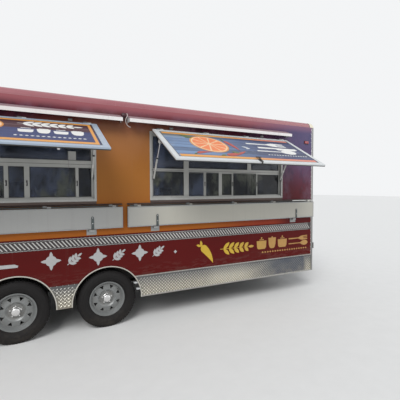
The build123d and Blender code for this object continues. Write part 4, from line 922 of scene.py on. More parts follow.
# Notice on the glass: a small blank sheet of paper taped to the rear bay's upper pane. Its
# lower end curls away from the glass.
NOTICE_ACROSS, NOTICE_DOWN = 7, 9
place = begin("blank_paper")[0]
tone = place.cloud(12.0, 2.0).mix((0.3, 0.3, 0.29), (0.4, 0.4, 0.385))
fibre = place.cloud(300.0, 3.0, 0.7)
paper = end(place, {"Base Color": tone, "Roughness": 0.85}, fibre, 0.0003, 0.2)
notice = Sketch()
glass_front = panes[0][2]
for u in range(NOTICE_ACROSS):
    for v in range(NOTICE_DOWN):
        curl = 0.0012 + 0.003 * sin(u * 0.5) * (v / (NOTICE_DOWN - 1)) ** 2
        notice.points.append((REAR_BAY + 0.766 + u * 0.014, glass_front - curl, 2.092 - v * 0.0122))
for u in range(NOTICE_ACROSS - 1):
    for v in range(NOTICE_DOWN - 1):
        a = u * NOTICE_DOWN + v
        notice.faces.append((a, a + NOTICE_DOWN, a + NOTICE_DOWN + 1, a + 1))
count = len(notice.points)
notice.points += [(px, py - 0.0006, pz) for px, py, pz in notice.points]
notice.faces += [tuple(count + i for i in face[::-1]) for face in notice.faces]
columns = [u * NOTICE_DOWN for u in range(NOTICE_ACROSS - 1)]
rim = [(a, a + NOTICE_DOWN) for a in columns]
rim += [(count - NOTICE_DOWN + v, count - NOTICE_DOWN + v + 1) for v in range(NOTICE_DOWN - 1)]
rim += [(a + 2 * NOTICE_DOWN - 1, a + NOTICE_DOWN - 1) for a in columns]
rim += [(v + 1, v) for v in range(NOTICE_DOWN - 1)]
notice.faces += [(a, b, count + b, count + a) for a, b in rim]
notice.save("blank_notice", "trailer", paper, "gutter_paint", 40)


# Hatches: light sandwich flaps in mitred aluminium rails, with a rubber gasket and a printed
# panel of painted boards. Each carries plain kitchen ornaments and closes with one latch.
HATCH_AXIS = (-1.31, 2.398)
HATCH_HALF = 1.06
HATCH_TOP_W = 0.01
HATCH_END_W = 0.8615
RAIL = 0.062
BORDER_HALF = 0.975
MITRE_GAP = 0.0005


def on_hatch(centre, opening):
    """Places (along, down from the axle line, out of the outer face) on an open hatch"""
    t = radians(opening)

    def place(u, w, h):
        return (centre + u, HATCH_AXIS[0] - w * sin(t) - h * cos(t),
                HATCH_AXIS[1] - w * cos(t) + h * sin(t))
    return place


def leaf(u, v, long, wide, angle):
    t = radians(angle)
    line = [(long * k / 8, wide / 2 * sin(pi * k / 8) ** 0.8) for k in range(9)]
    line += [(a, -b) for a, b in line[7:0:-1]]
    return [(u + a * cos(t) - b * sin(t), v + a * sin(t) + b * cos(t)) for a, b in line]


def disc(u, v, radius, steps=28, start=0.0, end=360.0):
    turns = [radians(start + (end - start) * k / steps) for k in range(steps + (end - start < 360))]
    return [(u + radius * cos(t), v + radius * sin(t)) for t in turns]


def laid(outline, u, v, size, angle=0.0):
    t = radians(angle)
    return [(u + size * (a * cos(t) - b * sin(t)), v + size * (a * sin(t) + b * cos(t)))
            for a, b in outline]


FORK = [
    (0.0, -0.018), (0.0, 0.018), (0.5, 0.014), (0.6, 0.045), (0.7, 0.062), (0.98, 0.066),
    (0.98, 0.044), (0.76, 0.036), (0.76, 0.018), (0.98, 0.02), (0.98, -0.004), (0.76, -0.004),
    (0.76, -0.022), (0.98, -0.026), (0.98, -0.05), (0.7, -0.062), (0.6, -0.045), (0.5, -0.014)]
KNIFE = [
    (0.0, -0.02), (0.0, 0.022), (0.42, 0.02), (0.46, 0.052), (0.9, 0.05), (1.0, 0.02),
    (0.98, -0.014), (0.44, -0.016)]
SPOON = [
    (0.0, -0.016), (0.0, 0.016), (0.6, 0.012), (0.68, 0.052), (0.8, 0.078), (0.92, 0.066),
    (0.99, 0.03), (1.0, 0.0), (0.99, -0.03), (0.92, -0.066), (0.8, -0.078), (0.68, -0.052),
    (0.6, -0.012)]
CUP = [
    (-0.4, -0.45), (0.4, -0.45), (0.36, 0.1), (0.27, 0.36), (0.14, 0.45), (-0.14, 0.45),
    (-0.27, 0.36), (-0.36, 0.1)]
POT = [
    (-0.5, -0.25), (0.5, -0.25), (0.46, 0.3), (0.34, 0.44), (-0.34, 0.44), (-0.46, 0.3)]


def bold(outline, wider):
    return [(a, b * wider) for a, b in outline]


def pepper(u, v, long, wide, angle, bend):
    """A tapering curved pod along an arc"""
    upper = []
    lower = []
    for s in (k / 12 for k in range(13)):
        turn = radians(angle) + bend * s
        centre_u = u + long * s * cos(radians(angle) + bend * s / 2)
        centre_v = v + long * s * sin(radians(angle) + bend * s / 2)
        half = wide / 2 * (min(1.0, s * 6 + 0.35)) * (1 - s ** 2.2) + 0.0005
        upper.append((centre_u - half * sin(turn), centre_v + half * cos(turn)))
        lower.append((centre_u + half * sin(turn), centre_v - half * cos(turn)))
    return upper + lower[::-1]


def diamonds(u0, u1, v, size, count):
    """A row of small diamonds, a little wider than high"""
    middles = [u0 + k * (u1 - u0) / (count - 1) for k in range(count)]
    return [[(u - size, v), (u, v - size * 0.8), (u + size, v), (u, v + size * 0.8)]
            for u in middles]


def sprig(u, v, long, pairs, size, angle=0.0):
    """A stem with leaves in pairs and one at its tip"""
    t = radians(angle)
    shapes = [laid([(0, -0.004), (0, 0.004), (long, 0.002), (long, -0.002)], u, v, 1, angle)]
    for k in range(pairs):
        s = long * (k + 0.6) / (pairs + 0.4)
        leaf_long = size * (1.05 - 0.35 * k / pairs)
        shapes += [leaf(u + s * cos(t), v + s * sin(t), leaf_long, size * 0.42, angle + side * 42)
                   for side in (-1, 1)]
    tip = long - 0.002
    shapes.append(leaf(u + tip * cos(t), v + tip * sin(t), size * 0.8, size * 0.32, angle))
    return shapes


def decal(name, outlines, place, low, high, body, finish):
    """Thin printed shapes, each a hair higher than the one before"""
    sketch = Sketch()
    for k, outline in enumerate(outlines):
        sketch.prism(outline, between(place, low - 0.00001 * k, high + 0.00004 * k))
    return sketch.save(name, body, finish, "body_paint")


def ink(name, tone, other, rough=0.34, scale=30.0):
    place = begin(name)[0]
    mottle = place.cloud(scale, 4.0, 0.6)
    faded = (mottle * 0.6 + place.cloud(3.0, 3.0, 0.5) * 0.4).mix(tone, other)
    values = {"Base Color": faded, "Roughness": rough + mottle * 0.14}
    return end(place, values, mottle, 0.0003, 0.2)


def begin_on_hatch(name, centre, opening):
    """A new finish with its places along an open hatch, down from the axle line and outwards"""
    place, x, y, z = begin(name)
    t = radians(opening)
    behind, above = y - HATCH_AXIS[0], z - HATCH_AXIS[1]
    return place, x - centre, behind * -sin(t) + above * -cos(t), above * sin(t) - behind * cos(t)


def hatch_skin(name, centre, opening, edge):
    """White sandwich skin, its edge painted in front and near-black behind: a rubber bulb that is
    also painted shade on the end face
    """
    place, across, down, outward = begin_on_hatch(name, centre, opening)
    ends = place.maths("ABSOLUTE", across).fade(1.0585, 1.0592)
    rim = place.maths("MAXIMUM", down.fade(0.862, 0.8628), ends)
    cloudy = place.cloud(5.0, 4.0, 0.6)
    # Painted shade: the back half of the edge is near-black.
    edges = (1 - outward.fade(-0.0142, -0.0136)).mix(edge, (0.03, 0.029, 0.028))
    tone = rim.mix(cloudy.mix((0.56, 0.565, 0.56), (0.46, 0.46, 0.45)), edges)
    return end(place, {"Base Color": tone, "Roughness": 0.38 + cloudy * 0.14}, cloudy, 0.0006, 0.2)


def planks(place, across, down, joint, stretch, scale):
    """Boards that run along the hatch: each one's number, the joints and the grain"""
    plank = down / 0.0905
    number = place.maths("FLOOR", plank)
    seam = place.maths("PINGPONG", plank, 0.5).fade(0.01, joint)
    spot = {0: across * stretch[0], 1: number * stretch[1], 2: down * stretch[2]}
    return number, seam, place.node("CombineXYZ", {}, spot).cloud(scale, 6.0, 0.62)


def end_boards(place, tone, grain, seam, gloss):
    values = {"Base Color": tone, "Roughness": 0.3 + grain * 0.16, "Specular IOR Level": gloss}
    return end(place, values, grain + seam * 0.5, 0.0008, 0.25)


def blue_boards(name, centre, opening, left, right, upper, dark):
    """Painted boards with worn paint, pale at the left and dark blue at the right"""
    place, across, down = begin_on_hatch(name, centre, opening)[:3]
    number, seam, grain = planks(place, across, down, 0.045, (1.2, 7.3, 26.0), 2.4)
    lot = place.node("CombineXYZ", {}, {0: number * 3.1, 1: 0.5, 2: 0.5}).cloud(1.0, 2.0, 0.5)
    pale = (1 - down.fade(0.1, 0.3)) * (1 - across.fade(-0.9, -0.1))
    tone = pale.mix(across.fade(-0.75, 0.55).mix(left, right), upper)
    tone = (lot.fade(0.42, 0.6) * 0.45).mix(tone, dark)
    tone = (grain.fade(0.5, 0.72) * 0.5).mix(tone, dark)
    worn = place.cloud(9.0, 5.0, 0.65).fade(0.54, 0.7)
    tone = (worn * grain.fade(0.35, 0.6) * 0.4).mix(tone, (0.3, 0.33, 0.38))
    return end_boards(place, seam.mix((0.012, 0.012, 0.018), tone), grain, seam, 0.25)


def maroon_boards(name, centre, opening):
    """Boards in maroon above and blue below, with a pale line between"""
    place, across, down = begin_on_hatch(name, centre, opening)[:3]
    seam, grain = planks(place, across, down, 0.04, (1.1, 5.7, 24.0), 2.2)[1:]
    high = grain.mix((0.07, 0.02, 0.028), (0.036, 0.012, 0.02))
    low = grain.mix((0.02, 0.034, 0.11), (0.034, 0.054, 0.16))
    pale_line = (1 - place.maths("ABSOLUTE", down - 0.285).fade(0.004, 0.01))
    tone = (pale_line * 0.5).mix(down.fade(0.385, 0.405).mix(high, low), (0.3, 0.2, 0.2))
    return end_boards(place, seam.mix((0.012, 0.01, 0.016), tone), grain, seam, 0.22)


place, x, y, z = begin("border_orange")
mottle = place.cloud(20.0, 4.0, 0.6)
warm = mottle.mix((0.7, 0.33, 0.06), (0.6, 0.245, 0.04))
pink = mottle.mix((0.66, 0.23, 0.17), (0.58, 0.18, 0.12))
tone = (x - FRONT_BAY).fade(-0.2, 0.8).mix(warm, pink)
values = {"Base Color": tone, "Roughness": 0.34 + mottle * 0.12}
border_ink = end(place, values, mottle, 0.0003, 0.2)
white_ink = ink("white_ink", (0.78, 0.78, 0.75), (0.64, 0.64, 0.62))
pith_ink = ink("cream_ink", (0.78, 0.56, 0.34), (0.7, 0.44, 0.24))
fruit_ink = ink("fruit_orange_ink", (0.8, 0.225, 0.06), (0.62, 0.13, 0.035), 0.3, 16.0)
rind_ink = ink("rind_ink", (0.66, 0.3, 0.05), (0.52, 0.17, 0.03), 0.32, 20.0)
pod_ink = ink("pod_red_ink", (0.46, 0.06, 0.028), (0.3, 0.026, 0.018), 0.28, 14.0)
leaf_ink = ink("leaf_green_ink", (0.1, 0.15, 0.045), (0.06, 0.095, 0.028), 0.36, 24.0)
rail_paint = bare_metal(
    "hatch_rail_white", (0.62, 0.64, 0.645), (0.52, 0.54, 0.555), 0.3, (0.3, 2, 2), 0.25)
rail_blue = bare_metal(
    "hatch_rail_blue_grey", (0.4, 0.47, 0.56), (0.31, 0.37, 0.45), 0.28, (0.3, 2, 2), 0.25)
front_boards = blue_boards(
    "boards_blue", *BAYS[0][1:], (0.155, 0.245, 0.405), (0.048, 0.06, 0.138),
    (0.235, 0.24, 0.21), (0.022, 0.028, 0.052))
rear_boards = maroon_boards("boards_maroon_and_blue", *BAYS[1][1:])


def hatch_border(name, place_on, body):
    """Orange bars above and below on the front hatch, a whole frame on the rear one"""
    if name == "front":
        bars = [rectangle(-BORDER_HALF, BORDER_HALF, *span)
                for span in ((0.736, 0.794), (0.082, 0.126))]
        return decal("hatch_border_front", bars, place_on, 0.0008, 0.002, body, border_ink)
    outer = rectangle(-BORDER_HALF, BORDER_HALF, 0.082, 0.79)
    inner = rectangle(-BORDER_HALF + 0.03, BORDER_HALF - 0.03, 0.124, 0.732)
    band = Sketch().ribbon(outer, inner, between(place_on, 0.0008, 0.002))
    return band.save("hatch_border_rear", body, border_ink, "body_paint")


for name, centre, opening in BAYS:
    body = "hatch_" + name
    place_on = on_hatch(centre, opening)
    out = Vector((0, -cos(radians(opening)), sin(radians(opening))))
    edge, rail, panel = (0.62, 0.64, 0.645), rail_paint, front_boards
    if name == "rear":
        edge, rail, panel = (0.36, 0.43, 0.52), rail_blue, rear_boards
    coat(hatch_skin("hatch_skin_" + name, centre, opening, edge), body)
    top_w, end_w = HATCH_TOP_W + 0.0015, HATCH_END_W
    face = (-HATCH_HALF + 0.0015, HATCH_HALF - 0.0015, top_w, end_w)
    outer, inner = rectangle(*face), rectangle(*face, RAIL)
    rails = Sketch()
    for k, m in ((0, 1), (1, 2), (2, 3), (3, 0)):
        mitred = [outer[k], outer[m], inner[m], inner[k]]
        if k % 2 == 0:
            mitred = [(u - copysign(MITRE_GAP, u), w) for u, w in mitred]
        rails.prism(mitred, between(place_on, -0.0005, 0.0022))
    rails.save("hatch_rails_" + name, body, rail, "frame_paint", 30, 0.0012)
    beads = Sketch()
    for inset, wide in ((0.006, 0.005), (0.048, 0.006)):
        band = rectangle(*face, inset), rectangle(*face, inset + wide)
        beads.ribbon(*band, between(place_on, 0.0015, 0.0036))
    beads.save("hatch_rail_beads_" + name, body, rail, "frame_paint", 30, 0.0006)
    hole = rectangle(*face, RAIL + 0.0065)
    seal = Sketch().ribbon(inner, hole, between(place_on, -0.0003, 0.003))
    seal.save("hatch_gasket_" + name, body, gasket, "trim_aluminium", 30, 0.0008)
    Sketch().prism(hole, between(place_on, -0.0003, 0.0012)).save(
        "hatch_panel_" + name, body, panel, "body_paint")
    points = [place_on(-0.98 + k * 0.1633, w_at, 0.0021)
              for k in range(13) for w_at in (top_w + 0.03, end_w - 0.03)]
    points += [place_on(side * (HATCH_HALF - 0.032), 0.13 + k * 0.152, 0.0021)
               for k in range(5) for side in (-1, 1)]
    backs = [place_on(u, w, -0.0248)
             for u in (-1.03, 1.03) for w in (0.08, 0.16, 0.3, 0.44, 0.58, 0.72, 0.83)]
    backs += [place_on(-0.9 + 0.2 * k, w, -0.0248) for k in range(10) for w in (0.042, 0.832)]
    for rivets, spots in (
            ("hatch_rivets_", spots_at(points, out)),
            ("hatch_inner_rivets_", spots_at(backs, -out))):
        heads(rivets + name, body, spots, 10, 0.0042, 0.0024, 0.0018, rivet_metal, "trim_aluminium")
    hatch_border(name, place_on, body)


def picture(name, slice_at, pods, leaves, white_name, white):
    """A hatch's ornaments: a citrus slice, red pods with green leaves, and white shapes"""
    body = "hatch_" + name
    place_on = on_hatch(*BAYS[name == "rear"][1:])
    u, v, radius = slice_at
    wedges = []
    for start in range(3, 363, 36):
        mid = radians(start + 15)
        tip = (u + radius * 0.1 * cos(mid), v + radius * 0.1 * sin(mid))
        wedges.append([tip, *disc(u, v, radius * 0.85, 6, start, start + 30)])
    for label, shapes, low, high, finish in (
            (f"slice_{name}_rind", [disc(u, v, radius, 40)], 0.0008, 0.0022, rind_ink),
            (f"slice_{name}_pith", [disc(u, v, radius * 0.93, 40)], 0.001, 0.0028, pith_ink),
            (f"slice_{name}_segments", wedges, 0.0012, 0.0036, fruit_ink),
            ("pods_" + name, [pepper(*pod) for pod in pods], 0.0012, 0.0044, pod_ink),
            ("pod_leaves_" + name, [leaf(*one) for one in leaves], 0.0012, 0.0048, leaf_ink),
            (white_name, white, 0.0008, 0.0022, white_ink)):
        decal(label, shapes, place_on, low, high, body, finish)


white = [
    laid(bold(FORK, 1.45), 0.15, 0.275, 0.66), laid(bold(KNIFE, 1.65), 0.27, 0.395, 0.66),
    laid(bold(SPOON, 1.35), 0.19, 0.51, 0.64), *diamonds(0.3, 0.92, 0.625, 0.016, 15),
    leaf(0.01, 0.4, 0.09, 0.026, 25), leaf(0.03, 0.47, 0.075, 0.024, -10)]
picture(
    "front", (-0.455, 0.392, 0.248),
    ((-0.36, 0.7, 0.36, 0.07, -8, -0.5), (-0.18, 0.26, 0.3, 0.062, 62, 0.45),
     (-0.74, 0.69, 0.2, 0.05, -30, 0.6)),
    ((-0.375, 0.702, 0.085, 0.034, 160), (-0.185, 0.262, 0.075, 0.03, -110),
     (-0.745, 0.69, 0.06, 0.026, 140), (-0.64, 0.2, 0.13, 0.06, 205),
     (-0.6, 0.185, 0.12, 0.052, 160), (-0.25, 0.6, 0.11, 0.05, 20)),
    "cutlery_front", white)

white = sprig(0.29, 0.23, 0.5, 6, 0.125)
for k, (vessel, size) in enumerate(((POT, 0.132), (CUP, 0.15), (POT, 0.132), (CUP, 0.15))):
    u = 0.365 + k * 0.15
    foot = rectangle(-0.3, 0.3, -0.6, -0.51)
    white += [laid(vessel, u, 0.47, size), laid(foot, u, 0.47, 0.14)]
white += [laid(bold(SPOON, 1.25), -0.9, 0.3, 0.48, 35)]
white += [laid(bold(FORK, 1.35), -0.9, 0.56, 0.48, -30)]
white += diamonds(0.29, 0.86, 0.64, 0.0165, 14)
picture(
    "rear", (-0.03, 0.33, 0.215),
    ((-0.33, 0.62, 0.38, 0.072, -12, 0.45), (-0.56, 0.23, 0.3, 0.064, 40, 0.5)),
    ((-0.345, 0.622, 0.085, 0.034, 170), (-0.57, 0.225, 0.08, 0.032, 200),
     (-0.24, 0.18, 0.12, 0.05, 200)),
    "pots_rear", white)


# Latches: a black tee handle on the front hatch's lower rail, and a small bright catch under
# the rear one.
latch_black = mottled(
    "latch_black", (0.01, 0.01, 0.011), (0.03, 0.028, 0.027), (70.0, 3.0, 0.6), (0.36, 0.2),
    0.0005, 0.3)


def latch(name, place_on, bars, finish, bevel):
    """Bars across a hatch, each with half its width and its outline in (down, out)"""
    sketch = Sketch()
    for half, outline in bars:
        sketch.prism(outline, lambda w, h, layer: place_on(half if layer else -half, w, h))
    sketch.save("hatch_latch_" + name, "hatch_" + name, finish, "plain_steel", 35, bevel)


latch("front", on_hatch(FRONT_BAY + 0.03, BAYS[0][2]), (
    (0.022, [(0.792, 0.0018), (0.858, 0.0018), (0.858, 0.007), (0.848, 0.011),
             (0.802, 0.011), (0.792, 0.007)]),
    (0.008, [(0.77, 0.015), (0.812, 0.014), (0.834, 0.009), (0.834, 0.019),
             (0.815, 0.023), (0.77, 0.023)]),
    (0.036, [(0.756, 0.015), (0.773, 0.014), (0.776, 0.019), (0.773, 0.0245),
             (0.759, 0.0255), (0.753, 0.0205)]),
    (0.009, [(0.848, 0.008), (0.872, 0.006), (0.876, -0.024), (0.869, -0.026),
             (0.8645, -0.001), (0.848, 0.002)])), latch_black, 0.0018)
latch("rear", on_hatch(REAR_BAY + 0.62, BAYS[1][2]), (
    (0.018, [(0.812, -0.0252), (0.8605, -0.0252), (0.8605, -0.029), (0.812, -0.029)]),
    (0.01, [(0.838, -0.0286), (0.8585, -0.0286), (0.855, -0.044), (0.847, -0.047),
             (0.842, -0.042)])), nut_chrome, 0.0014)


# Gas struts: pale grey painted tubes with a black gland, bright rods, and steel eyes on
# pinned ears.
strut_tube_paint = bare_metal(
    "strut_pale_grey", (0.47, 0.47, 0.45), (0.36, 0.36, 0.34), 0.34, (1, 1, 0.4), 0.15)
rod_chrome = bare_metal(
    "strut_rod_chrome", (0.72, 0.72, 0.72), (0.58, 0.58, 0.57), 0.1, (1, 1, 1), 0.95)
lug_zinc = bare_metal("lug_zinc", (0.5, 0.5, 0.49), (0.36, 0.355, 0.34), 0.38, (1, 1, 1), 0.7)
dull_zinc = bare_metal("dull_zinc", (0.2, 0.2, 0.195), (0.12, 0.12, 0.115), 0.42, (1, 1, 1), 0.5)
coat(dull_zinc, "hinge_lugs")
coat(lug_zinc, "door_lugs")
STRUT_FOOT = Vector((0, -1.226, 1.8))


def ring_profile(inner, outer, low, high, ease):
    """A closed band round a tube, its outer edges eased along the tube"""
    return [(inner, low), (outer, low + ease), (outer, high - ease), (inner, high), (inner, low)]


for strut in (f"{bay[0]}_{end_name}" for bay in BAYS for end_name in "ab"):
    coat(strut_tube_paint, "strut_tube_" + strut)
    coat(rod_chrome, "strut_rod_" + strut)
    tube = [v.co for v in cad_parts["strut_tube_" + strut].data.vertices]
    rod = [v.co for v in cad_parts["strut_rod_" + strut].data.vertices]
    foot = STRUT_FOOT.copy()
    foot.x = sum(co.x for co in rod) / len(rod)
    tip = max(rod, key=lambda co: (co - foot).length)
    way = Vector((0, tip.y - foot.y, tip.z - foot.z)).normalized()
    far = max((co - foot).dot(way) for co in tube)
    across = Vector((1, 0, 0))
    upper = [co - foot for co in tube if (co - foot).dot(way) > far * 0.6]
    wide = max((co - way * co.dot(way)).length for co in upper)

    def along_strut(u, v, along):
        return foot + across * u + way.cross(across) * v + way * along

    gland = Sketch().turned(
        [(wide - 0.0002, far - 0.026), (wide + 0.0012, far - 0.024), (wide + 0.0012, far - 0.004),
         (wide - 0.0015, far - 0.0008), (wide - 0.0002, far - 0.026)], along_strut, 20)
    gland.save("strut_gland_" + strut, "strut_tube_" + strut, gasket, "strut_grey", 35)
    low = far * 0.42
    band = Sketch().turned(
        ring_profile(wide - 0.0002, wide + 0.0006, low, low + 0.041, 0.001), along_strut, 20)
    band.save("strut_band_" + strut, "strut_tube_" + strut, rivet_metal, "strut_grey", 35)


# Serving shelves: long folded sheet boards, powder coated pale grey, hung on a piano hinge
# under the windows. A strap on each catch plate holds the board down flat.
SHELF_FACE = -1.266
SHELVES = (
    ("front", MIDDLE + 0.03, MIDDLE + 3.07, (0.402, 2.7)),
    ("rear", MIDDLE - 3.07, MIDDLE - 0.03, (-2.665, -0.378)))
STRAP_TOP = 1.335
STRAP_HALF = 0.015
SILL_PROFILE = (
    (-SIDE + 0.0005, 1.476), (-SIDE - 0.03, 1.4755), (-SIDE - 0.0322, 1.4768),
    (-SIDE - 0.03, 1.479), (-SIDE + 0.0005, 1.493))
place, x, y, z = begin("shelf_powder_coat")
cloudy = place.stretched(0.5, 1, 1).cloud(1.6, 4.0, 0.55)
rear_grey = cloudy.mix((0.365, 0.365, 0.352), (0.32, 0.32, 0.312))
front_grey = cloudy.mix((0.42, 0.405, 0.35), (0.355, 0.345, 0.305))
tone = (x - MIDDLE).fade(-0.4, 0.6).mix(rear_grey, front_grey)
drip = place.stretched(22, 1, 0.5).cloud(1.0, 4.0, 0.6).fade(0.56, 0.78)
tone = (drip * 0.14).mix(tone, (0.19, 0.17, 0.15))
tone = place.cloud(95.0, 2.0, 0.6).fade(0.745, 0.765).mix(tone, (0.12, 0.11, 0.1))
relief = place.cloud(380.0, 1.0) * 0.2 + place.stretched(0.5, 1, 1).cloud(3.0, 2.0) * 3.0
values = {"Base Color": tone, "Roughness": 0.34 + cloudy * 0.14 + drip * 0.1}
coat(end(place, values, relief, 0.001, 0.15), "shelf_front", "shelf_rear")
bracket_metal = bare_metal(
    "bracket_grey", (0.33, 0.335, 0.33), (0.24, 0.24, 0.235), 0.4, (1, 1, 1), 0.5)
coat(bracket_metal, "shelf_brackets")
strap_metal = bare_metal(
    "strap_dark", (0.085, 0.1, 0.1), (0.05, 0.058, 0.058), 0.42, (1, 1, 1), 0.4)
sills = Sketch()
for name, x0, x1, straps in SHELVES:
    body = "shelf_" + name
    edges = Sketch()
    proud = (SHELF_FACE - 0.0016, SHELF_FACE + 0.0005)
    for low in (1.2045, 1.4395):
        edges.block(x0 + 0.002, x1 - 0.002, *proud, low, low + 0.012)
    for end_x in (x0 + 0.0015, x1 - 0.0135):
        edges.block(end_x, end_x + 0.012, *proud, 1.2165, 1.4395)
    edges.save("shelf_edges_" + name, body, bracket_metal, "shelf_paint", 30, 0.0007)
    points = [(x0 + 0.1 + k * 0.2025, SHELF_FACE - 0.0014, z_at)
              for k in range(15) for z_at in (1.2105, 1.4455)]
    heads("shelf_rivets_" + name, body, spots_at(points, (0, -1, 0)), 8, 0.0034, 0.002, 0.0014,
          rivet_metal, "trim_aluminium")
    holders = Sketch()
    pins = []
    for at in (MIDDLE + strap for strap in straps):
        left, right = at - STRAP_HALF, at + STRAP_HALF
        outline = [(left, 1.207), (right, 1.207), *disc(at, STRAP_TOP, STRAP_HALF, 8, 0, 180)]
        holders.prism(outline, lambda u, v, layer: (
            u, SHELF_FACE - (0.0052 if layer else 0.0002), v))
        holders.tube([(at + u, SHELF_FACE - out, 1.216)
                      for u, out in ((-0.012, 0.01), (0, 0.013), (0.012, 0.01))], 0.0042, 8)
        pins += [(at, SHELF_FACE - 0.005, z_at) for z_at in (STRAP_TOP, 1.27)]
    holders.save("shelf_straps_" + name, body, strap_metal, "plain_steel", 35, 0.0009)
    heads("shelf_strap_pins_" + name, body, spots_at(pins, (0, -1, 0), 0.3), 6, 0.0062, 0.0056,
          0.0046, nut_chrome, "plain_steel")
    knuckle = Sketch().turned(
        [(0.0, -0.019), (0.0068, -0.019), (0.0068, 0.019), (0.0, 0.019)],
        lambda u, v, along: (x0 + 0.045 + along, -1.251 + u, 1.464 + v), 10)
    settings = {"Count": 73, "Pitch": 0.0406, "Finish": strap_metal}
    apply_tree("shelf_hinge_row_" + name, knuckle.mesh("knuckle"), ROWS, settings, "trailer")
    x0, x1 = max(x0, MIDDLE - 3.066), min(x1, MIDDLE + 3.066)
    sills.prism(SILL_PROFILE, lambda u, v, layer: (x1 if layer else x0, u, v))
for name, centre, opening in BAYS:
    sills.block(centre - 1.062, centre + 1.062, -SIDE - 0.006, -SIDE + 0.0005, 1.493, 1.5232)
sill_metal = bare_metal(
    "sill_weathered", (0.09, 0.06, 0.05), (0.04, 0.03, 0.028), 0.4, (0.2, 1, 1), 0.3)
sills.save("shelf_sills", "trailer", sill_metal, "trim_aluminium", 30, 0.0006)
lip = Sketch().block(
    MIDDLE + 2.63, MIDDLE + 3.064, -SIDE - 0.034, -SIDE - 0.0295, 1.47, 1.4815)
lip.save("shelf_sill_end", "trailer", rivet_metal, "trim_aluminium", 30, 0.0008)


# Gutters: long roll-formed rain gutters over both bays, with a grey upper flange and a
# bright white lip, end caps and small grey clips above the hatches.
GUTTER_PROFILE = (
    (-1.2205, 2.452), (-1.357, 2.452), (-1.357, 2.488), (-1.34, 2.492), (-1.2205, 2.54))
place, x, y, z = begin("gutter_two_tone")
cloudy = place.stretched(0.4, 1, 1).cloud(6.0, 4.0, 0.6)
lip_tone = cloudy.mix((0.76, 0.745, 0.735), (0.66, 0.645, 0.635))
flange_tone = cloudy.mix((0.235, 0.16, 0.175), (0.31, 0.225, 0.24))
tone = z.fade(2.4885, 2.4925).mix(lip_tone, flange_tone)
rain = place.stretched(26, 1, 1).cloud(1.0, 4.0, 0.6).fade(0.55, 0.8)
tone = (rain * 0.22).mix(tone, (0.2, 0.17, 0.15))
values = {"Base Color": tone, "Roughness": 0.34 + cloudy * 0.15}
coat(end(place, values, cloudy, 0.0006, 0.2), "gutters")
ends = Sketch()
for at in (0.0425, 2.5145, -0.0425, -2.5145):
    ends.prism(GUTTER_PROFILE, lambda u, v, layer: (
        MIDDLE + at + (0.0012 if layer else -0.0012), u, v))
ends.save("gutter_ends", "trailer", rail_paint, "gutter_paint", 30)
clips = Sketch()
for at in (MIDDLE + offset for offset in (0.61, -0.597, 2.05, -2.05)):
    clips.block(at - 0.022, at + 0.022, -1.238, -1.2195, 2.425, 2.451)
    clips.block(at - 0.013, at + 0.013, -1.246, -1.236, 2.43, 2.446)
clips.save("gutter_clips", "trailer", bracket_metal, "trim_aluminium", 30, 0.002)


# Wire fitting between the gutters: a dark maroon knob with a bent white wire. The knob's tone
# ends at its edge.
KNOB_X, KNOB_Z = MIDDLE - 0.008, 2.536
place, x, y, z = begin("knob_and_wire")
across, rise = x - KNOB_X, z - KNOB_Z
reach = place.maths("SQRT", across * across + rise * rise)
grain = place.cloud(60.0, 3.0, 0.6)
knob = grain.mix((0.03, 0.005, 0.009), (0.05, 0.01, 0.016))
wire = grain.mix((0.56, 0.52, 0.5), (0.44, 0.4, 0.38))
values = {
    "Base Color": reach.fade(0.0325, 0.0345).mix(knob, wire), "Roughness": 0.36 + grain * 0.2}
coat(end(place, values, grain, 0.0004, 0.2), "hook_lamp")


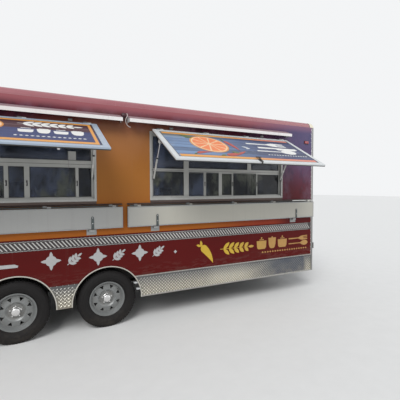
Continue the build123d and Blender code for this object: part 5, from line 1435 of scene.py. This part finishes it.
# Wall ornaments: gold and silver vinyl shapes laid on the lower wall, kitchen motifs in a row.
# Both sides are drawn from the nose backwards. Their pods differ, and the street side has no
# knives.
place, x, y, z = begin("gold_vinyl")
mottle = place.cloud(24.0, 4.0, 0.6)
yellow = mottle.mix((0.6, 0.41, 0.03), (0.46, 0.3, 0.016))
tan = mottle.mix((0.47, 0.26, 0.07), (0.35, 0.185, 0.046))
tone = place.maths("ABSOLUTE", x - MIDDLE).fade(1.4, 2.3).mix(yellow, tan)
values = {"Base Color": tone, "Roughness": 0.26 + mottle * 0.14}
gold_ink = end(place, values, mottle, 0.0003, 0.2)
silver_ink = ink("silver_vinyl", (0.46, 0.46, 0.46), (0.36, 0.36, 0.36), 0.26, 24.0)
VESSELS = [(2.06 + 0.2 * k, shape) for k, shape in enumerate((POT, CUP, POT))]
for side_name, sign in SIDES:
    on_wall = on_side(sign)
    if sign < 0:
        gold = [pepper(1.045, 0.88, 0.3, 0.105, -38, -0.55),
                leaf(1.048, 0.876, 0.085, 0.036, 100), leaf(1.04, 0.88, 0.075, 0.032, 160)]
    else:
        gold = [pepper(0.99, 0.895, 0.32, 0.09, -14, -0.15),
                leaf(0.993, 0.892, 0.08, 0.034, 120), leaf(0.988, 0.895, 0.075, 0.032, 190)]
    gold += sprig(1.34, 0.815, 0.48, 5, 0.124)
    for u, shape in VESSELS:
        gold.append(laid([(a, -b) for a, b in shape], u, 0.835, 0.18))
        gold.append(laid(rectangle(-0.22, 0.22, 0.3, 0.37), u, 0.835, 0.18))
    gold += [disc(u, 0.922, 0.013, 12) for u, shape in VESSELS]
    gold += [laid(bold(FORK, 1.4), 2.59, 0.872, 0.4), laid(bold(SPOON, 1.3), 2.59, 0.792, 0.4)]
    gold += diamonds(2.08, 2.95, 0.705, 0.018, 19)
    silver = []
    for k in range(6):
        at = -0.85 + 0.25 * k
        if k % 2 == 0:
            silver.append(disc(at + 0.035, 0.872, 0.058, 30))
            silver += [leaf(at + 0.035, 0.872, 0.104, 0.038, a) for a in (90, 270, 0, 180)]
        else:
            silver += sprig(at - 0.05, 0.812, 0.14, 3, 0.076, 38)
    if sign < 0:
        silver += [laid(bold(KNIFE, 1.5), -2.95 + 0.48 * k, 0.845, 0.38) for k in range(4)]
    silver += [laid(rectangle(-0.5, 0.5, -0.5, 0.5), 0.66, 0.845, 0.032, 45)]
    for label, shapes, finish in (
            ("ornament_gold_", gold, gold_ink), ("ornament_silver_", silver, silver_ink)):
        decal(label + side_name, shapes, lambda u, v, h: on_wall(MIDDLE - sign * u, v, h),
              -0.0005, 0.0008, "trailer", finish)


# Cap flanges: each cast corner cap laps over the rolled roof edges next to it, and ends in a
# line of black sealant.
EDGE_RADIUS = 0.08
STRAIGHT_Y = 1.14
FLANGE = 0.048


def edge_band(name, proud, near, far, finish, bevel):
    """Arcs over the four rolled edges at every corner, from near to far behind the cap"""
    sketch = Sketch()
    arc = [radians(90 * k / 12) for k in range(13)]
    outline = [((EDGE_RADIUS + more) * cos(a), (EDGE_RADIUS + more) * sin(a))
               for more, turns in ((proud, arc), (-0.001, arc[::-1])) for a in turns]
    for fore, sign in ((-1, -1), (-1, 1), (1, -1), (1, 1)):
        sketch.prism(outline, lambda u, v, layer: (
            MIDDLE + fore * (STRAIGHT - (far if layer else near)), sign * (STRAIGHT_Y + u),
            EAVE + v))
        sketch.prism(outline, lambda u, v, layer: (
            MIDDLE + fore * (STRAIGHT + u), sign * (STRAIGHT_Y - (far if layer else near)),
            EAVE + v))
    sketch.save(name, "trailer", finish, "trim_aluminium", 30, bevel)


edge_band("cap_flanges", 0.0016, 0.0, FLANGE, cap_finish, 0.0004)
edge_band("cap_sealant", 0.0012, FLANGE, FLANGE + 0.007, gasket, 0)


# Panel joints: the outer skins butt over the studs, under thin aluminium strips where the
# wrap is folded in.
joints = Sketch()
for sign in (-1, 1):
    face = sorted((sign * (SIDE - 0.0003), sign * (SIDE + 0.0012)))
    for at in (MIDDLE - 3.062, MIDDLE + 3.062):
        joints.block(at, at + 0.006, *face, SILL, EAVE - 0.012)
joints.save("panel_joints", "trailer", rivet_metal, "trim_aluminium", 30, 0.0004)
seams = Sketch()
for at in (MIDDLE + 0.61, MIDDLE - 0.62):
    seams.block(at - 0.0008, at + 0.0008, -SIDE - 0.0003, -SIDE + 0.0005, 1.5, 2.44)
    seams.block(at - 0.0008, at + 0.0008, SIDE - 0.0005, SIDE + 0.0003, 1.122, 2.64)
seams.save("wrap_seams", "trailer", stripe_dark, "body_paint")


# Chassis: welded steel rails, outriggers and A-frame in black chassis enamel, with road dust
# on what hangs low and rust at chips and joints.
place, x, y, z = begin("chassis_enamel")
tone = place.cloud(3.5, 5.0, 0.62).mix((0.016, 0.016, 0.017), (0.034, 0.033, 0.032))
dust = (1 - z.fade(0.3, 0.62)) * place.cloud(6.0, 6.0, 0.68).fade(0.36, 0.68)
tone = (dust * 0.55).mix(tone, (0.12, 0.095, 0.07))
rust = place.cloud(34.0, 5.0, 0.7).fade(0.64, 0.72)
tone = (rust * 0.8).mix(tone, (0.15, 0.052, 0.02))
values = {"Base Color": tone, "Roughness": 0.34 + dust * 0.35 + rust * 0.3}
relief = place.cloud(260.0, 2.0, 0.5) * 0.3 + rust
chassis_enamel = end(place, values, relief, 0.0006, 0.35)
coat(chassis_enamel, "chassis_rails", "crossmembers", "tongue", "axles", "bumper",
     "cylinder_tray", "coupler")
place, x, y, z = begin("underfloor_sealed")
sealer = place.cloud(12.0, 5.0, 0.65).mix((0.02, 0.019, 0.018), (0.075, 0.065, 0.055))
ribs_x, ribs_y = (place.maths("PINGPONG", axis, 0.02).fade(0.004, 0.012) for axis in (x, y))
deck = (ribs_x * ribs_y).mix((0.17, 0.17, 0.168), (0.26, 0.26, 0.255))
values = {"Base Color": z.fade(0.616, 0.619).mix(sealer, deck), "Roughness": 0.62}
coat(end(place, values, place.cloud(70.0, 4.0, 0.7), 0.001, 0.4), "floor")
place, x, y, z = begin("wheel_box_sheet")
mud = (1 - z.fade(0.45, 0.8)) * place.cloud(8.0, 6.0, 0.7).fade(0.35, 0.62)
sheet = place.cloud(5.0, 4.0).mix((0.03, 0.03, 0.031), (0.06, 0.058, 0.056))
values = {"Base Color": mud.mix(sheet, (0.115, 0.09, 0.066)), "Roughness": 0.55 + mud * 0.3}
coat(end(place, values, place.cloud(90.0, 4.0, 0.7), 0.001, 0.4), "wheel_boxes")
jack_zinc = bare_metal(
    "jack_zinc", (0.52, 0.52, 0.5), (0.34, 0.33, 0.3), 0.36, (1, 1, 0.3), 0.75)
coat(jack_zinc, "jack_tube", "jack_leg")


# Gas cylinders: two upright steel cylinders in white enamel on the A-frame tray, with brass
# valves, plain black straps and hoses to a changeover regulator.
CYLINDER_X = MIDDLE + 3.44
CYLINDER_Y = 0.175
VALVE = [
    (0.0, 1.055), (0.02, 1.055), (0.02, 1.082), (0.014, 1.086), (0.014, 1.118), (0.02, 1.122),
    (0.022, 1.128), (0.022, 1.146), (0.018, 1.152), (0.0, 1.152)]
OUTLET = [(0.0, 0.01), (0.011, 0.01), (0.011, 0.052), (0.0, 0.052)]
HOSE = (
    (0.05, 0.0, 1.102), (0.085, 0.01, 1.104), (0.11, 0.045, 1.11), (0.125, 0.1, 1.118),
    (0.13, 0.148, 1.12))
REGULATOR = [
    (0.0, 0.0), (0.046, 0.0), (0.05, 0.006), (0.05, 0.014), (0.046, 0.02), (0.03, 0.034),
    (0.012, 0.038), (0.0, 0.038)]
place, x, y, z = begin("cylinder_enamel")
cloudy = place.cloud(4.0, 4.0, 0.6)
foot_rust = (1 - z.fade(0.53, 0.6)) * place.cloud(22.0, 5.0, 0.7).fade(0.45, 0.62)
chips = place.cloud(48.0, 4.0, 0.7).fade(0.7, 0.74)
tone = cloudy.mix((0.62, 0.62, 0.6), (0.52, 0.515, 0.49))
tone = (foot_rust * 0.8 + chips * 0.7).mix(tone, (0.19, 0.075, 0.035))
weld = 1 - place.maths("ABSOLUTE", z - 0.79).fade(0.004, 0.009)
values = {"Base Color": tone, "Roughness": 0.28 + cloudy * 0.12 + foot_rust * 0.4}
relief = place.cloud(240.0, 2.0) * 0.2 + weld * 3.0
coat(end(place, values, relief, 0.001, 0.3), "gas_cylinders")
brass = bare_metal("valve_brass", (0.6, 0.42, 0.16), (0.42, 0.28, 0.11), 0.28, (1, 1, 1), 0.9)
fittings = Sketch()
hoses = Sketch()
belts = Sketch().block(CYLINDER_X - 0.018, CYLINDER_X + 0.018, -0.03, 0.03, 0.882, 0.916)
for sign in (-1, 1):
    def up(u, v, along):
        return (CYLINDER_X + u, sign * CYLINDER_Y + v, along)

    fittings.turned(VALVE, up, 20)
    fittings.turned(OUTLET, lambda u, v, along: up(-along, u, 1.102 + v), 12)
    belts.turned(ring_profile(0.1525, 0.155, 0.88, 0.918, 0.001), up, 56)
    hoses.tube([up(-back, -sign * inward, height) for back, inward, height in HOSE], 0.0055, 10)
fittings.save("cylinder_valves", "trailer", brass, "plain_steel", 35)
hoses.save("cylinder_hoses", "trailer", gasket, "tyre_rubber", 60)
belts.save("cylinder_straps", "trailer", gasket, "tyre_rubber", 35)
regulator = Sketch().turned(
    REGULATOR, lambda u, v, along: (CYLINDER_X - 0.128 - along, u, 1.12 + v), 28)
regulator.block(CYLINDER_X - 0.134, CYLINDER_X - 0.122, -0.03, 0.03, 1.104, 1.136)
regulator.save("gas_regulator", "trailer", lug_zinc, "plain_steel", 35, 0.001)


# Tongue: the coupler's latch and safety pin, safety chains of steel links, and a jack crank
# with a plain black grip.
LATCH_X = MIDDLE + 4.19
CHAIN_LINKS = 9
CHAIN_SAG = 0.085
LINK = [(0.024 * cos(2 * pi * k / 16), 0.012 * sin(2 * pi * k / 16)) for k in range(16)]
GRIP = [
    (0.0, -0.118), (0.012, -0.118), (0.0145, -0.13), (0.0145, -0.19), (0.011, -0.202),
    (0.0, -0.203)]
tackle = Sketch().block(LATCH_X, LATCH_X + 0.11, -0.014, 0.014, 0.5, 0.5195)
handle = ((0.01, 0.512), (-0.02, 0.53), (-0.07, 0.54))
tackle.tube([(LATCH_X + u, 0.0, z_at) for u, z_at in handle], 0.0075, 10)
tackle.tube([(LATCH_X + 0.055, y_at, 0.508) for y_at in (-0.045, 0.045)], 0.005, 8)
tackle.save("coupler_latch", "trailer", jack_zinc, "plain_steel", 35, 0.0015)
chains = Sketch()
for sign in (-1, 1):
    for k in range(CHAIN_LINKS):
        s = k / (CHAIN_LINKS - 1)
        low = 0.345 - CHAIN_SAG * sin(pi * s)
        centre = Vector((MIDDLE + 4.02 - 0.3 * s, sign * (0.105 + 0.05 * s), low))
        way = Vector((-0.3, sign * 0.05, -CHAIN_SAG * pi * cos(pi * s))).normalized()
        side = Vector((0, 0, 1)) if k % 2 else Vector((0, 1, 0))
        side = (side - way * side.dot(way)).normalized()
        chains.tube([centre + way * a * 1.05 + side * b for a, b in LINK], 0.0042, 6, True)
chains.save("safety_chains", "trailer", jack_zinc, "plain_steel", 60)
arm = ((-0.03, 0.88), (-0.085, 0.88), (-0.1, 0.872), (-0.1, 0.775))
crank = Sketch().tube([(0.0, y_at, z_at) for y_at, z_at in arm], 0.007, 10)
crank.tube([(0.0, -0.098, 0.775), (0.0, -0.15, 0.775)], 0.0065, 10)
crank.save("jack_crank", "trailer", jack_zinc, "plain_steel", 50)
Sketch().turned(GRIP, lambda u, v, along: (u, along, 0.775 + v), 16).save(
    "jack_grip", "trailer", latch_black, "plain_steel", 40)


# Bumper and step: square tube with a folded step of open tread, and a blank number plate
# held by two screws.
BUMPER_BACK = MIDDLE - 3.27
PLATE_AT = (0.712, 0.5)
PLATE_HALF = (0.1515, 0.075)
PLATE_CHAMFER = 0.009
tread = Sketch()
for x_at in (MIDDLE - 3.49 + k * 0.031 for k in range(9)):
    tread.block(x_at, x_at + 0.01, -0.315, 0.315, 0.3118, 0.3165)
tread.save("step_tread_bars", "trailer", plate_metal, "tread_plate", 30, 0.0012)
place, x, y, z = begin("plate_blank")
dull = place.cloud(14.0, 4.0, 0.6)
off_y = place.maths("ABSOLUTE", place.maths("ABSOLUTE", y - PLATE_AT[0]) - 0.142)
off_z = place.maths("ABSOLUTE", place.maths("ABSOLUTE", z - PLATE_AT[1]) - 0.066)
rim_line = 1 - place.maths("MINIMUM", off_y, off_z).fade(0.0012, 0.0024)
values = {"Base Color": dull.mix((0.62, 0.62, 0.6), (0.5, 0.5, 0.48)), "Roughness": 0.34}
blank_plate = end(place, values, rim_line * 1.5 + dull * 0.2, 0.001, 0.4)
half, short = PLATE_HALF, [size - PLATE_CHAMFER for size in PLATE_HALF]
outline = [
    (-short[0], -half[1]), (short[0], -half[1]), (half[0], -short[1]), (half[0], short[1]),
    (short[0], half[1]), (-short[0], half[1]), (-half[0], short[1]), (-half[0], -short[1])]
Sketch().prism(outline, lambda u, v, layer: (
    BUMPER_BACK - 0.0048 - 0.0014 * layer, PLATE_AT[0] + u, PLATE_AT[1] + v)).save(
    "number_plate_blank", "trailer", blank_plate, "plain_steel", 30, 0.0004)
screws = spots_at(
    [(BUMPER_BACK - 0.006, PLATE_AT[0] + u, 0.56) for u in (-0.105, 0.105)], (-1, 0, 0), 0.4)
screws += spots_at(
    [(BUMPER_BACK, y_at, z_at) for y_at in (-1.1, -0.6, 0.0, 0.4, 1.1)
     for z_at in (0.47, 0.53)], (-1, 0, 0))
heads("bumper_bolts", "trailer", screws, 6, 0.0085, 0.008, 0.005, nut_chrome, "plain_steel")


# Lamps: moulded red lenses with ribs and a clear edge, on black rubber bases. One small
# marker near each upper corner, round tail lamps beside the door.
MARKER_REACH = 2.941
TAIL_LAMP_Y = 1.04
place, x, y, z = begin("lamp_red")
ribs = place.maths("PINGPONG", y + x, 0.0035).fade(0.0008, 0.003)
deep = place.cloud(60.0, 2.0).mix((0.2, 0.006, 0.014), (0.29, 0.01, 0.02))
tone = (ribs * 0.3).mix(deep, (0.46, 0.04, 0.06))
values = {"Base Color": tone, "Roughness": 0.12, "Coat Weight": 0.5, "Coat Roughness": 0.04}
lamp_red = end(place, values, ribs, 0.0012, 0.5)
coat(lamp_red, "lamps")
bases = Sketch()
lenses = Sketch()
for sign in (-1, 1):
    for at in (MIDDLE - MARKER_REACH, MIDDLE + MARKER_REACH):
        outer = rectangle(at - 0.0445, at + 0.0445, 2.38, 2.43)
        hole = rectangle(at - 0.0378, at + 0.0378, 2.3856, 2.4244)
        bases.ribbon(outer, hole, between(on_side(sign), -0.0002, 0.006))
    for z_at in (0.76, 0.89):
        def tail_lamp(u, v, along):
            return (TAIL - along, sign * TAIL_LAMP_Y + u, z_at + v)

        bases.turned(
            [(0.0552, 0.0), (0.064, 0.0), (0.064, 0.006), (0.06, 0.011), (0.0552, 0.012),
             (0.0552, 0.0)], tail_lamp, 36)
        for r in (0.014, 0.026, 0.038, 0.049):
            ring = [(r, 0.0215), (r + 0.0022, 0.0242), (r + 0.0044, 0.0215), (r, 0.0215)]
            lenses.turned(ring, tail_lamp, 36)
bases.save("lamp_bases", "trailer", gasket, "trim_aluminium", 35, 0.0008)
lenses.save("tail_lamp_rings", "trailer", lamp_red, "lamp_lens", 50)


# Rear door: a flush insulated leaf in an aluminium frame, with a rounded window, a paddle
# lock and a grab handle.
DOOR_X = MIDDLE - 3.156
SCREW = (8, 0.0042, 0.0026, 0.0016)
coat(wrap("wrap_maroon_door", 0.0), "rear_door")


def rounded(u0, u1, v0, v1, r, steps=6):
    """A rectangle with round corners"""
    line = []
    for cu, cv, start in (
            (u1 - r, v1 - r, 0), (u0 + r, v1 - r, 90), (u0 + r, v0 + r, 180),
            (u1 - r, v0 + r, 270)):
        turns = [radians(start + 90 * k / steps) for k in range(steps + 1)]
        line += [(cu + r * cos(t), cv + r * sin(t)) for t in turns]
    return line


def on_door(u, v, h):
    return (DOOR_X - h, u, v)


trim = Sketch()
for outer, hole, proud in (
        ((0.374, 0.646, 2.534, 0.03), (0.344, 0.676, 2.504, 0.022), 0.003),
        ((0.215, 1.83, 2.33, 0.062), (0.182, 1.863, 2.297, 0.045), 0.0075)):
    trim.ribbon(rounded(-outer[0], *outer), rounded(-hole[0], *hole),
                between(on_door, -0.0005, proud))
trim.save("door_trims", "rear_door", rail_paint, "trim_aluminium", 30, 0.0012)
seal = Sketch().ribbon(
    rounded(-0.184, 0.184, 1.861, 2.299, 0.046), rounded(-0.173, 0.173, 1.872, 2.288, 0.04),
    between(on_door, -0.0005, 0.0055))
seal.save("door_window_gasket", "rear_door", gasket, "trim_aluminium", 30, 0.0008)
place = begin("door_pane")[0]
smear = place.cloud(4.0, 5.0, 0.65)
door_pane = end(place, {
    "Base Color": smear.mix((0.012, 0.015, 0.02), (0.036, 0.042, 0.05)),
    "Roughness": 0.05 + smear * 0.08, "Specular IOR Level": 0.55}, smear, 0.0003, 0.05)
pane = Sketch().prism(
    rounded(-0.174, 0.174, 1.871, 2.289, 0.04), between(on_door, -0.0005, 0.003))
pane.save("door_window", "rear_door", door_pane, "window_glass")
points = [on_door(u, 0.7 + 0.2 * k, 0.0028) for u in (-0.359, 0.359) for k in range(10)]
points += [on_door(u, v, 0.0073) for u in (-0.199, 0.199) for v in (1.88, 2.03, 2.13, 2.28)]
heads("door_screws", "rear_door", spots_at(points, (-1, 0, 0)), *SCREW,
      rivet_metal, "trim_aluminium")


# Roof fittings: an extractor with a louvred neck, a bolted vent lid, and lap seams along the
# edges of the top sheet and over its bows.
EXTRACTOR_X, EXTRACTOR_Y = MIDDLE - 0.3, 0.3
NECK_RADIUS = 0.1895
LID_X, LID_Y = MIDDLE + 2.83, -0.64
LAP_LOW = 2.7295
vent_paint = bare_metal(
    "vent_galvanised", (0.46, 0.47, 0.47), (0.34, 0.345, 0.34), 0.38, (1, 1, 1), 0.4)
coat(vent_paint, "roof_vents")
slats = []
for t in (2 * pi * k / 28 for k in range(28)):
    point = (EXTRACTOR_X + NECK_RADIUS * cos(t), EXTRACTOR_Y + NECK_RADIUS * sin(t), 2.865)
    slats += spots_at([point], (cos(t), sin(t), 0), pi / 4, (0.55, 2.1, 1.0))
heads("extractor_louvres", "trailer", slats, 4, 0.0175, 0.011, 0.006, vent_paint, "frame_paint")
points = [(EXTRACTOR_X + u, EXTRACTOR_Y + v, 2.8298)
          for u in (-0.21, 0.21) for v in (-0.21, 0, 0.21)]
points += [(LID_X + u, LID_Y + v, 2.8198) for u in (-0.18, 0.18) for v in (-0.18, 0.18)]
heads("roof_bolts", "trailer", spots_at(points, (0, 0, 1), 0.2), 6, 0.009, 0.0085, 0.005,
      nut_chrome, "plain_steel")
laps = Sketch()
for low_y in (-1.128, 1.104):
    laps.block(MIDDLE - 3.06, MIDDLE + 3.06, low_y, low_y + 0.024, LAP_LOW, LAP_LOW + 0.003)
for at in (MIDDLE - 3.05 + k * 0.61 for k in range(11)):
    laps.block(at - 0.012, at + 0.012, -1.104, 1.104, LAP_LOW, LAP_LOW + 0.0023)
laps.save("roof_laps", "trailer", vent_paint, "body_paint", 30, 0.0008)
points = [(MIDDLE - 3.04 + 0.1 * k, y_at, 2.7324) for k in range(61) for y_at in (-1.116, 1.116)]
heads("roof_lap_screws", "trailer", spots_at(points, (0, 0, 1)), 6, 0.005, 0.004, 0.003,
      rivet_metal, "trim_aluminium")


# Kitchen: brushed stainless counter, cook line, hood and refrigerator, as seen through the
# windows, with hood filters, knobs, door handles, pots and jars.
COOK_TOP = 1.521
COUNTER_TOP = 1.4905
HOOD_FACE = (0.4118, 0.4155)
POTS = (
    (-1.55, 0.72, 0.13, 0.2), (-1.2, 0.95, 0.15, 0.26), (-0.55, 0.74, 0.12, 0.14),
    (0.3, 0.76, 0.14, 0.18), (0.75, 0.98, 0.11, 0.22), (1.25, 0.74, 0.13, 0.15))
JARS = (-2.15, -2.04, -1.93, -0.98, 0.85, 0.96, 1.95, 2.08)
kitchen_steel = bare_metal(
    "kitchen_stainless", (0.44, 0.44, 0.43), (0.3, 0.3, 0.295), 0.3, (0.4, 4, 4), 0.6)
coat(kitchen_steel, "kitchen")
pan_iron = mottled(
    "pan_iron", (0.018, 0.017, 0.017), (0.06, 0.052, 0.046), (40.0, 5.0, 0.65), (0.42, 0.3),
    0.0008, 0.4)
jar_cream = ink("jar_cream", (0.36, 0.32, 0.25), (0.24, 0.19, 0.13), 0.3, 30.0)
filters = Sketch()
for x0 in (MIDDLE - 1.86 + k * 0.42 for k in range(8)):
    for left in (x0 + j * 0.052 for j in range(7)):
        filters.block(left, left + 0.03, 0.4095, 0.416, 2.215, 2.56)
    for low in (2.198, 2.56):
        filters.block(x0 - 0.012, x0 + 0.372, *HOOD_FACE, low, low + 0.017)
filters.save("hood_filters", "trailer", kitchen_steel, "kitchen_steel", 30)
points = [(MIDDLE - 1.85 + 0.19 * k, 0.5555, 1.42) for k in range(18)]
heads("cook_line_knobs", "trailer", spots_at(points, (0, -1, 0)), 14, 0.024, 0.019, 0.026,
      latch_black, "kitchen_steel")
handles = Sketch()
for x0 in (MIDDLE - 1.8 + k * 0.88 for k in range(4)):
    bow = ((0, 0.556), (0, 0.52), (0.6, 0.52), (0.6, 0.556))
    handles.tube([(x0 + u, y_at, 1.3) for u, y_at in bow], 0.0085, 8)
for at in (MIDDLE + 2.47, MIDDLE + 2.53):
    for low, high in ((1.75, 2.21), (0.95, 1.41)):
        bow = ((0.476, low), (0.44, low + 0.01), (0.44, high - 0.01), (0.476, high))
        handles.tube([(at, y_at, z_at) for y_at, z_at in bow], 0.0085, 8)
handles.save("kitchen_handles", "trailer", nut_chrome, "kitchen_steel", 50)
pots = Sketch()
for at, y_at, r, tall in POTS:
    at += MIDDLE
    top = COOK_TOP + tall
    pots.turned(
        [(0.0, COOK_TOP), (r * 0.94, COOK_TOP), (r, COOK_TOP + 0.011), (r, top),
         (r + 0.006, top + 0.003), (r - 0.004, top + 0.001), (r - 0.005, 1.545), (0.0, 1.54)],
        lambda u, v, along: (at + u, y_at + v, along), 28)
    bow = ((-r, 0), (-r - 0.035, 0), (-r - 0.035, -0.05), (-r * 0.92, -0.05))
    pots.tube([(at + u, y_at + v, 1.49 + tall) for u, v in bow], 0.0045, 8)
pots.save("cooking_pots", "trailer", pan_iron, "kitchen_steel", 40)
jars = Sketch()
for k, at in enumerate(JARS):
    r = 0.03 + 0.006 * (k % 3)
    tall = 0.13 + 0.028 * (k % 4)
    neck = r * 0.42
    profile = ((0.0, 0), (r, 0), (r, tall * 0.66), (neck, tall * 0.84), (neck, tall), (0.0, tall))
    jars.turned(profile, lambda u, v, along: (
        MIDDLE + at + u, -0.86 + 0.05 * (k % 2) + v, COUNTER_TOP + along), 18)
jars.save("counter_jars", "trailer", jar_cream, "kitchen_steel", 40)


# Arch linings: folded grey braces between the skirt and the front wheel box, seen through the
# front wheel arch.
braces = Sketch()
for sign in (-1, 1):
    face = sorted((sign * 1.2135, sign * 1.165))
    for low, start, stop in ((0.494, 0.318, 0.362), (0.414, 0.348, 0.39)):
        braces.block(WHEELS[0] + start, WHEELS[0] + stop, *face, low, low + 0.016)
braces.save("arch_braces", "trailer", rail_paint, "frame_paint", 30, 0.0015)


# Street side: louvred outlets behind the cook line, a hinged lid over the shore power inlet,
# and a water filler, all on sealed flanges with screws.
OUTLETS = (MIDDLE - 1.6, MIDDLE, MIDDLE + 1.2)
FILLER = (MIDDLE + 1.6, 0.8)
on_street = on_side(1)
service = Sketch()
points = []
for at in OUTLETS:
    outer = rectangle(at - 0.21, at + 0.21, 1.32, 1.58)
    hole = rectangle(at - 0.188, at + 0.188, 1.342, 1.558)
    service.ribbon(outer, hole, between(on_street, -0.0003, 0.006))
    points += [on_street(at + u, v, 0.0058) for u in (-0.199, 0.0, 0.199) for v in (1.331, 1.569)]
lid = rounded(MIDDLE + 2.28, MIDDLE + 2.46, 0.7, 0.86, 0.02)
service.prism(lid, between(on_street, -0.0003, 0.005))
lid = rounded(MIDDLE + 2.295, MIDDLE + 2.445, 0.715, 0.84, 0.016)
service.prism(lid, between(on_street, 0.004, 0.014))
service.tube([on_street(MIDDLE + u, 0.843, 0.012) for u in (2.3, 2.44)], 0.005, 8)
service.turned(
    [(0.0, 0.0), (0.052, 0.0), (0.052, 0.004), (0.046, 0.0075), (0.036, 0.008), (0.034, 0.014),
     (0.0, 0.015)],
    lambda u, v, along: on_street(FILLER[0] + u, FILLER[1] + v, along - 0.0003), 32)
service.block(
    FILLER[0] - 0.028, FILLER[0] + 0.028, SIDE + 0.012, SIDE + 0.017, 0.796, 0.804)
service.save("service_flanges", "trailer", rail_paint, "frame_paint", 35, 0.001)
points += [on_street(MIDDLE + u, v, 0.0048) for u in (2.288, 2.452) for v in (0.708, 0.852)]
points += [on_street(FILLER[0] + 0.045 * cos(a), FILLER[1] + 0.045 * sin(a), 0.007)
           for a in (0.785, 2.356, 3.927, 5.498)]
heads("service_screws", "trailer", spots_at(points, (0, 1, 0)), *SCREW,
      rivet_metal, "trim_aluminium")
BLADE = ((0.0, -0.006), (0.012, -0.0085), (0.0128, -0.0075), (0.003, 0.0085), (0.0, 0.0085))
for index, at in enumerate(OUTLETS):
    blades = Sketch()
    for low in (1.35 + 0.018 * k for k in range(12)):
        blades.prism(BLADE, lambda u, v, layer: (
            at + (0.188 if layer else -0.188), SIDE + u - 0.0002, low + v))
    blades.save(f"louvres_{index}", "trailer", vent_paint, "frame_paint", 30)


# Battery box: a ribbed black box with a lid and a rubber strap, on a steel plate that is
# welded across the two tongue beams.
BATTERY_X0, BATTERY_X1 = MIDDLE + 3.7, MIDDLE + 3.89


def flat(u, v, h):
    return (u, v, h)


beams = [(BATTERY_X0 - 0.002, 0.285), (BATTERY_X1 + 0.002, 0.211)]
outline = [(u, -v) for u, v in beams] + beams[::-1]
Sketch().prism(outline, between(flat, 0.4795, 0.4855)).save(
    "battery_plate", "trailer", chassis_enamel, "plain_steel", 30, 0.001)
outline = rounded(BATTERY_X0, BATTERY_X1, -0.15, 0.15, 0.018)
Sketch().prism(outline, between(flat, 0.4854, 0.7)).save(
    "battery_box", "trailer", latch_black, "plain_steel", 35, 0.004)
outline = rounded(BATTERY_X0 - 0.006, BATTERY_X1 + 0.006, -0.156, 0.156, 0.02)
lid = Sketch().prism(outline, between(flat, 0.7005, 0.724))
for low in (-0.112 + 0.05 * k for k in range(5)):
    lid.block(BATTERY_X0 + 0.015, BATTERY_X1 - 0.015, low, low + 0.012, 0.7235, 0.7275)
lid.save("battery_lid", "trailer", latch_black, "plain_steel", 35, 0.0022)
strap = Sketch()
for span in (
        (-0.16, -0.1565, 0.482, 0.73), (0.1565, 0.16, 0.482, 0.73),
        (-0.16, 0.16, 0.728, 0.7312)):
    strap.block(BATTERY_X0 + 0.078, BATTERY_X1 - 0.078, *span)
strap.save("battery_strap", "trailer", gasket, "tyre_rubber", 30, 0.0006)
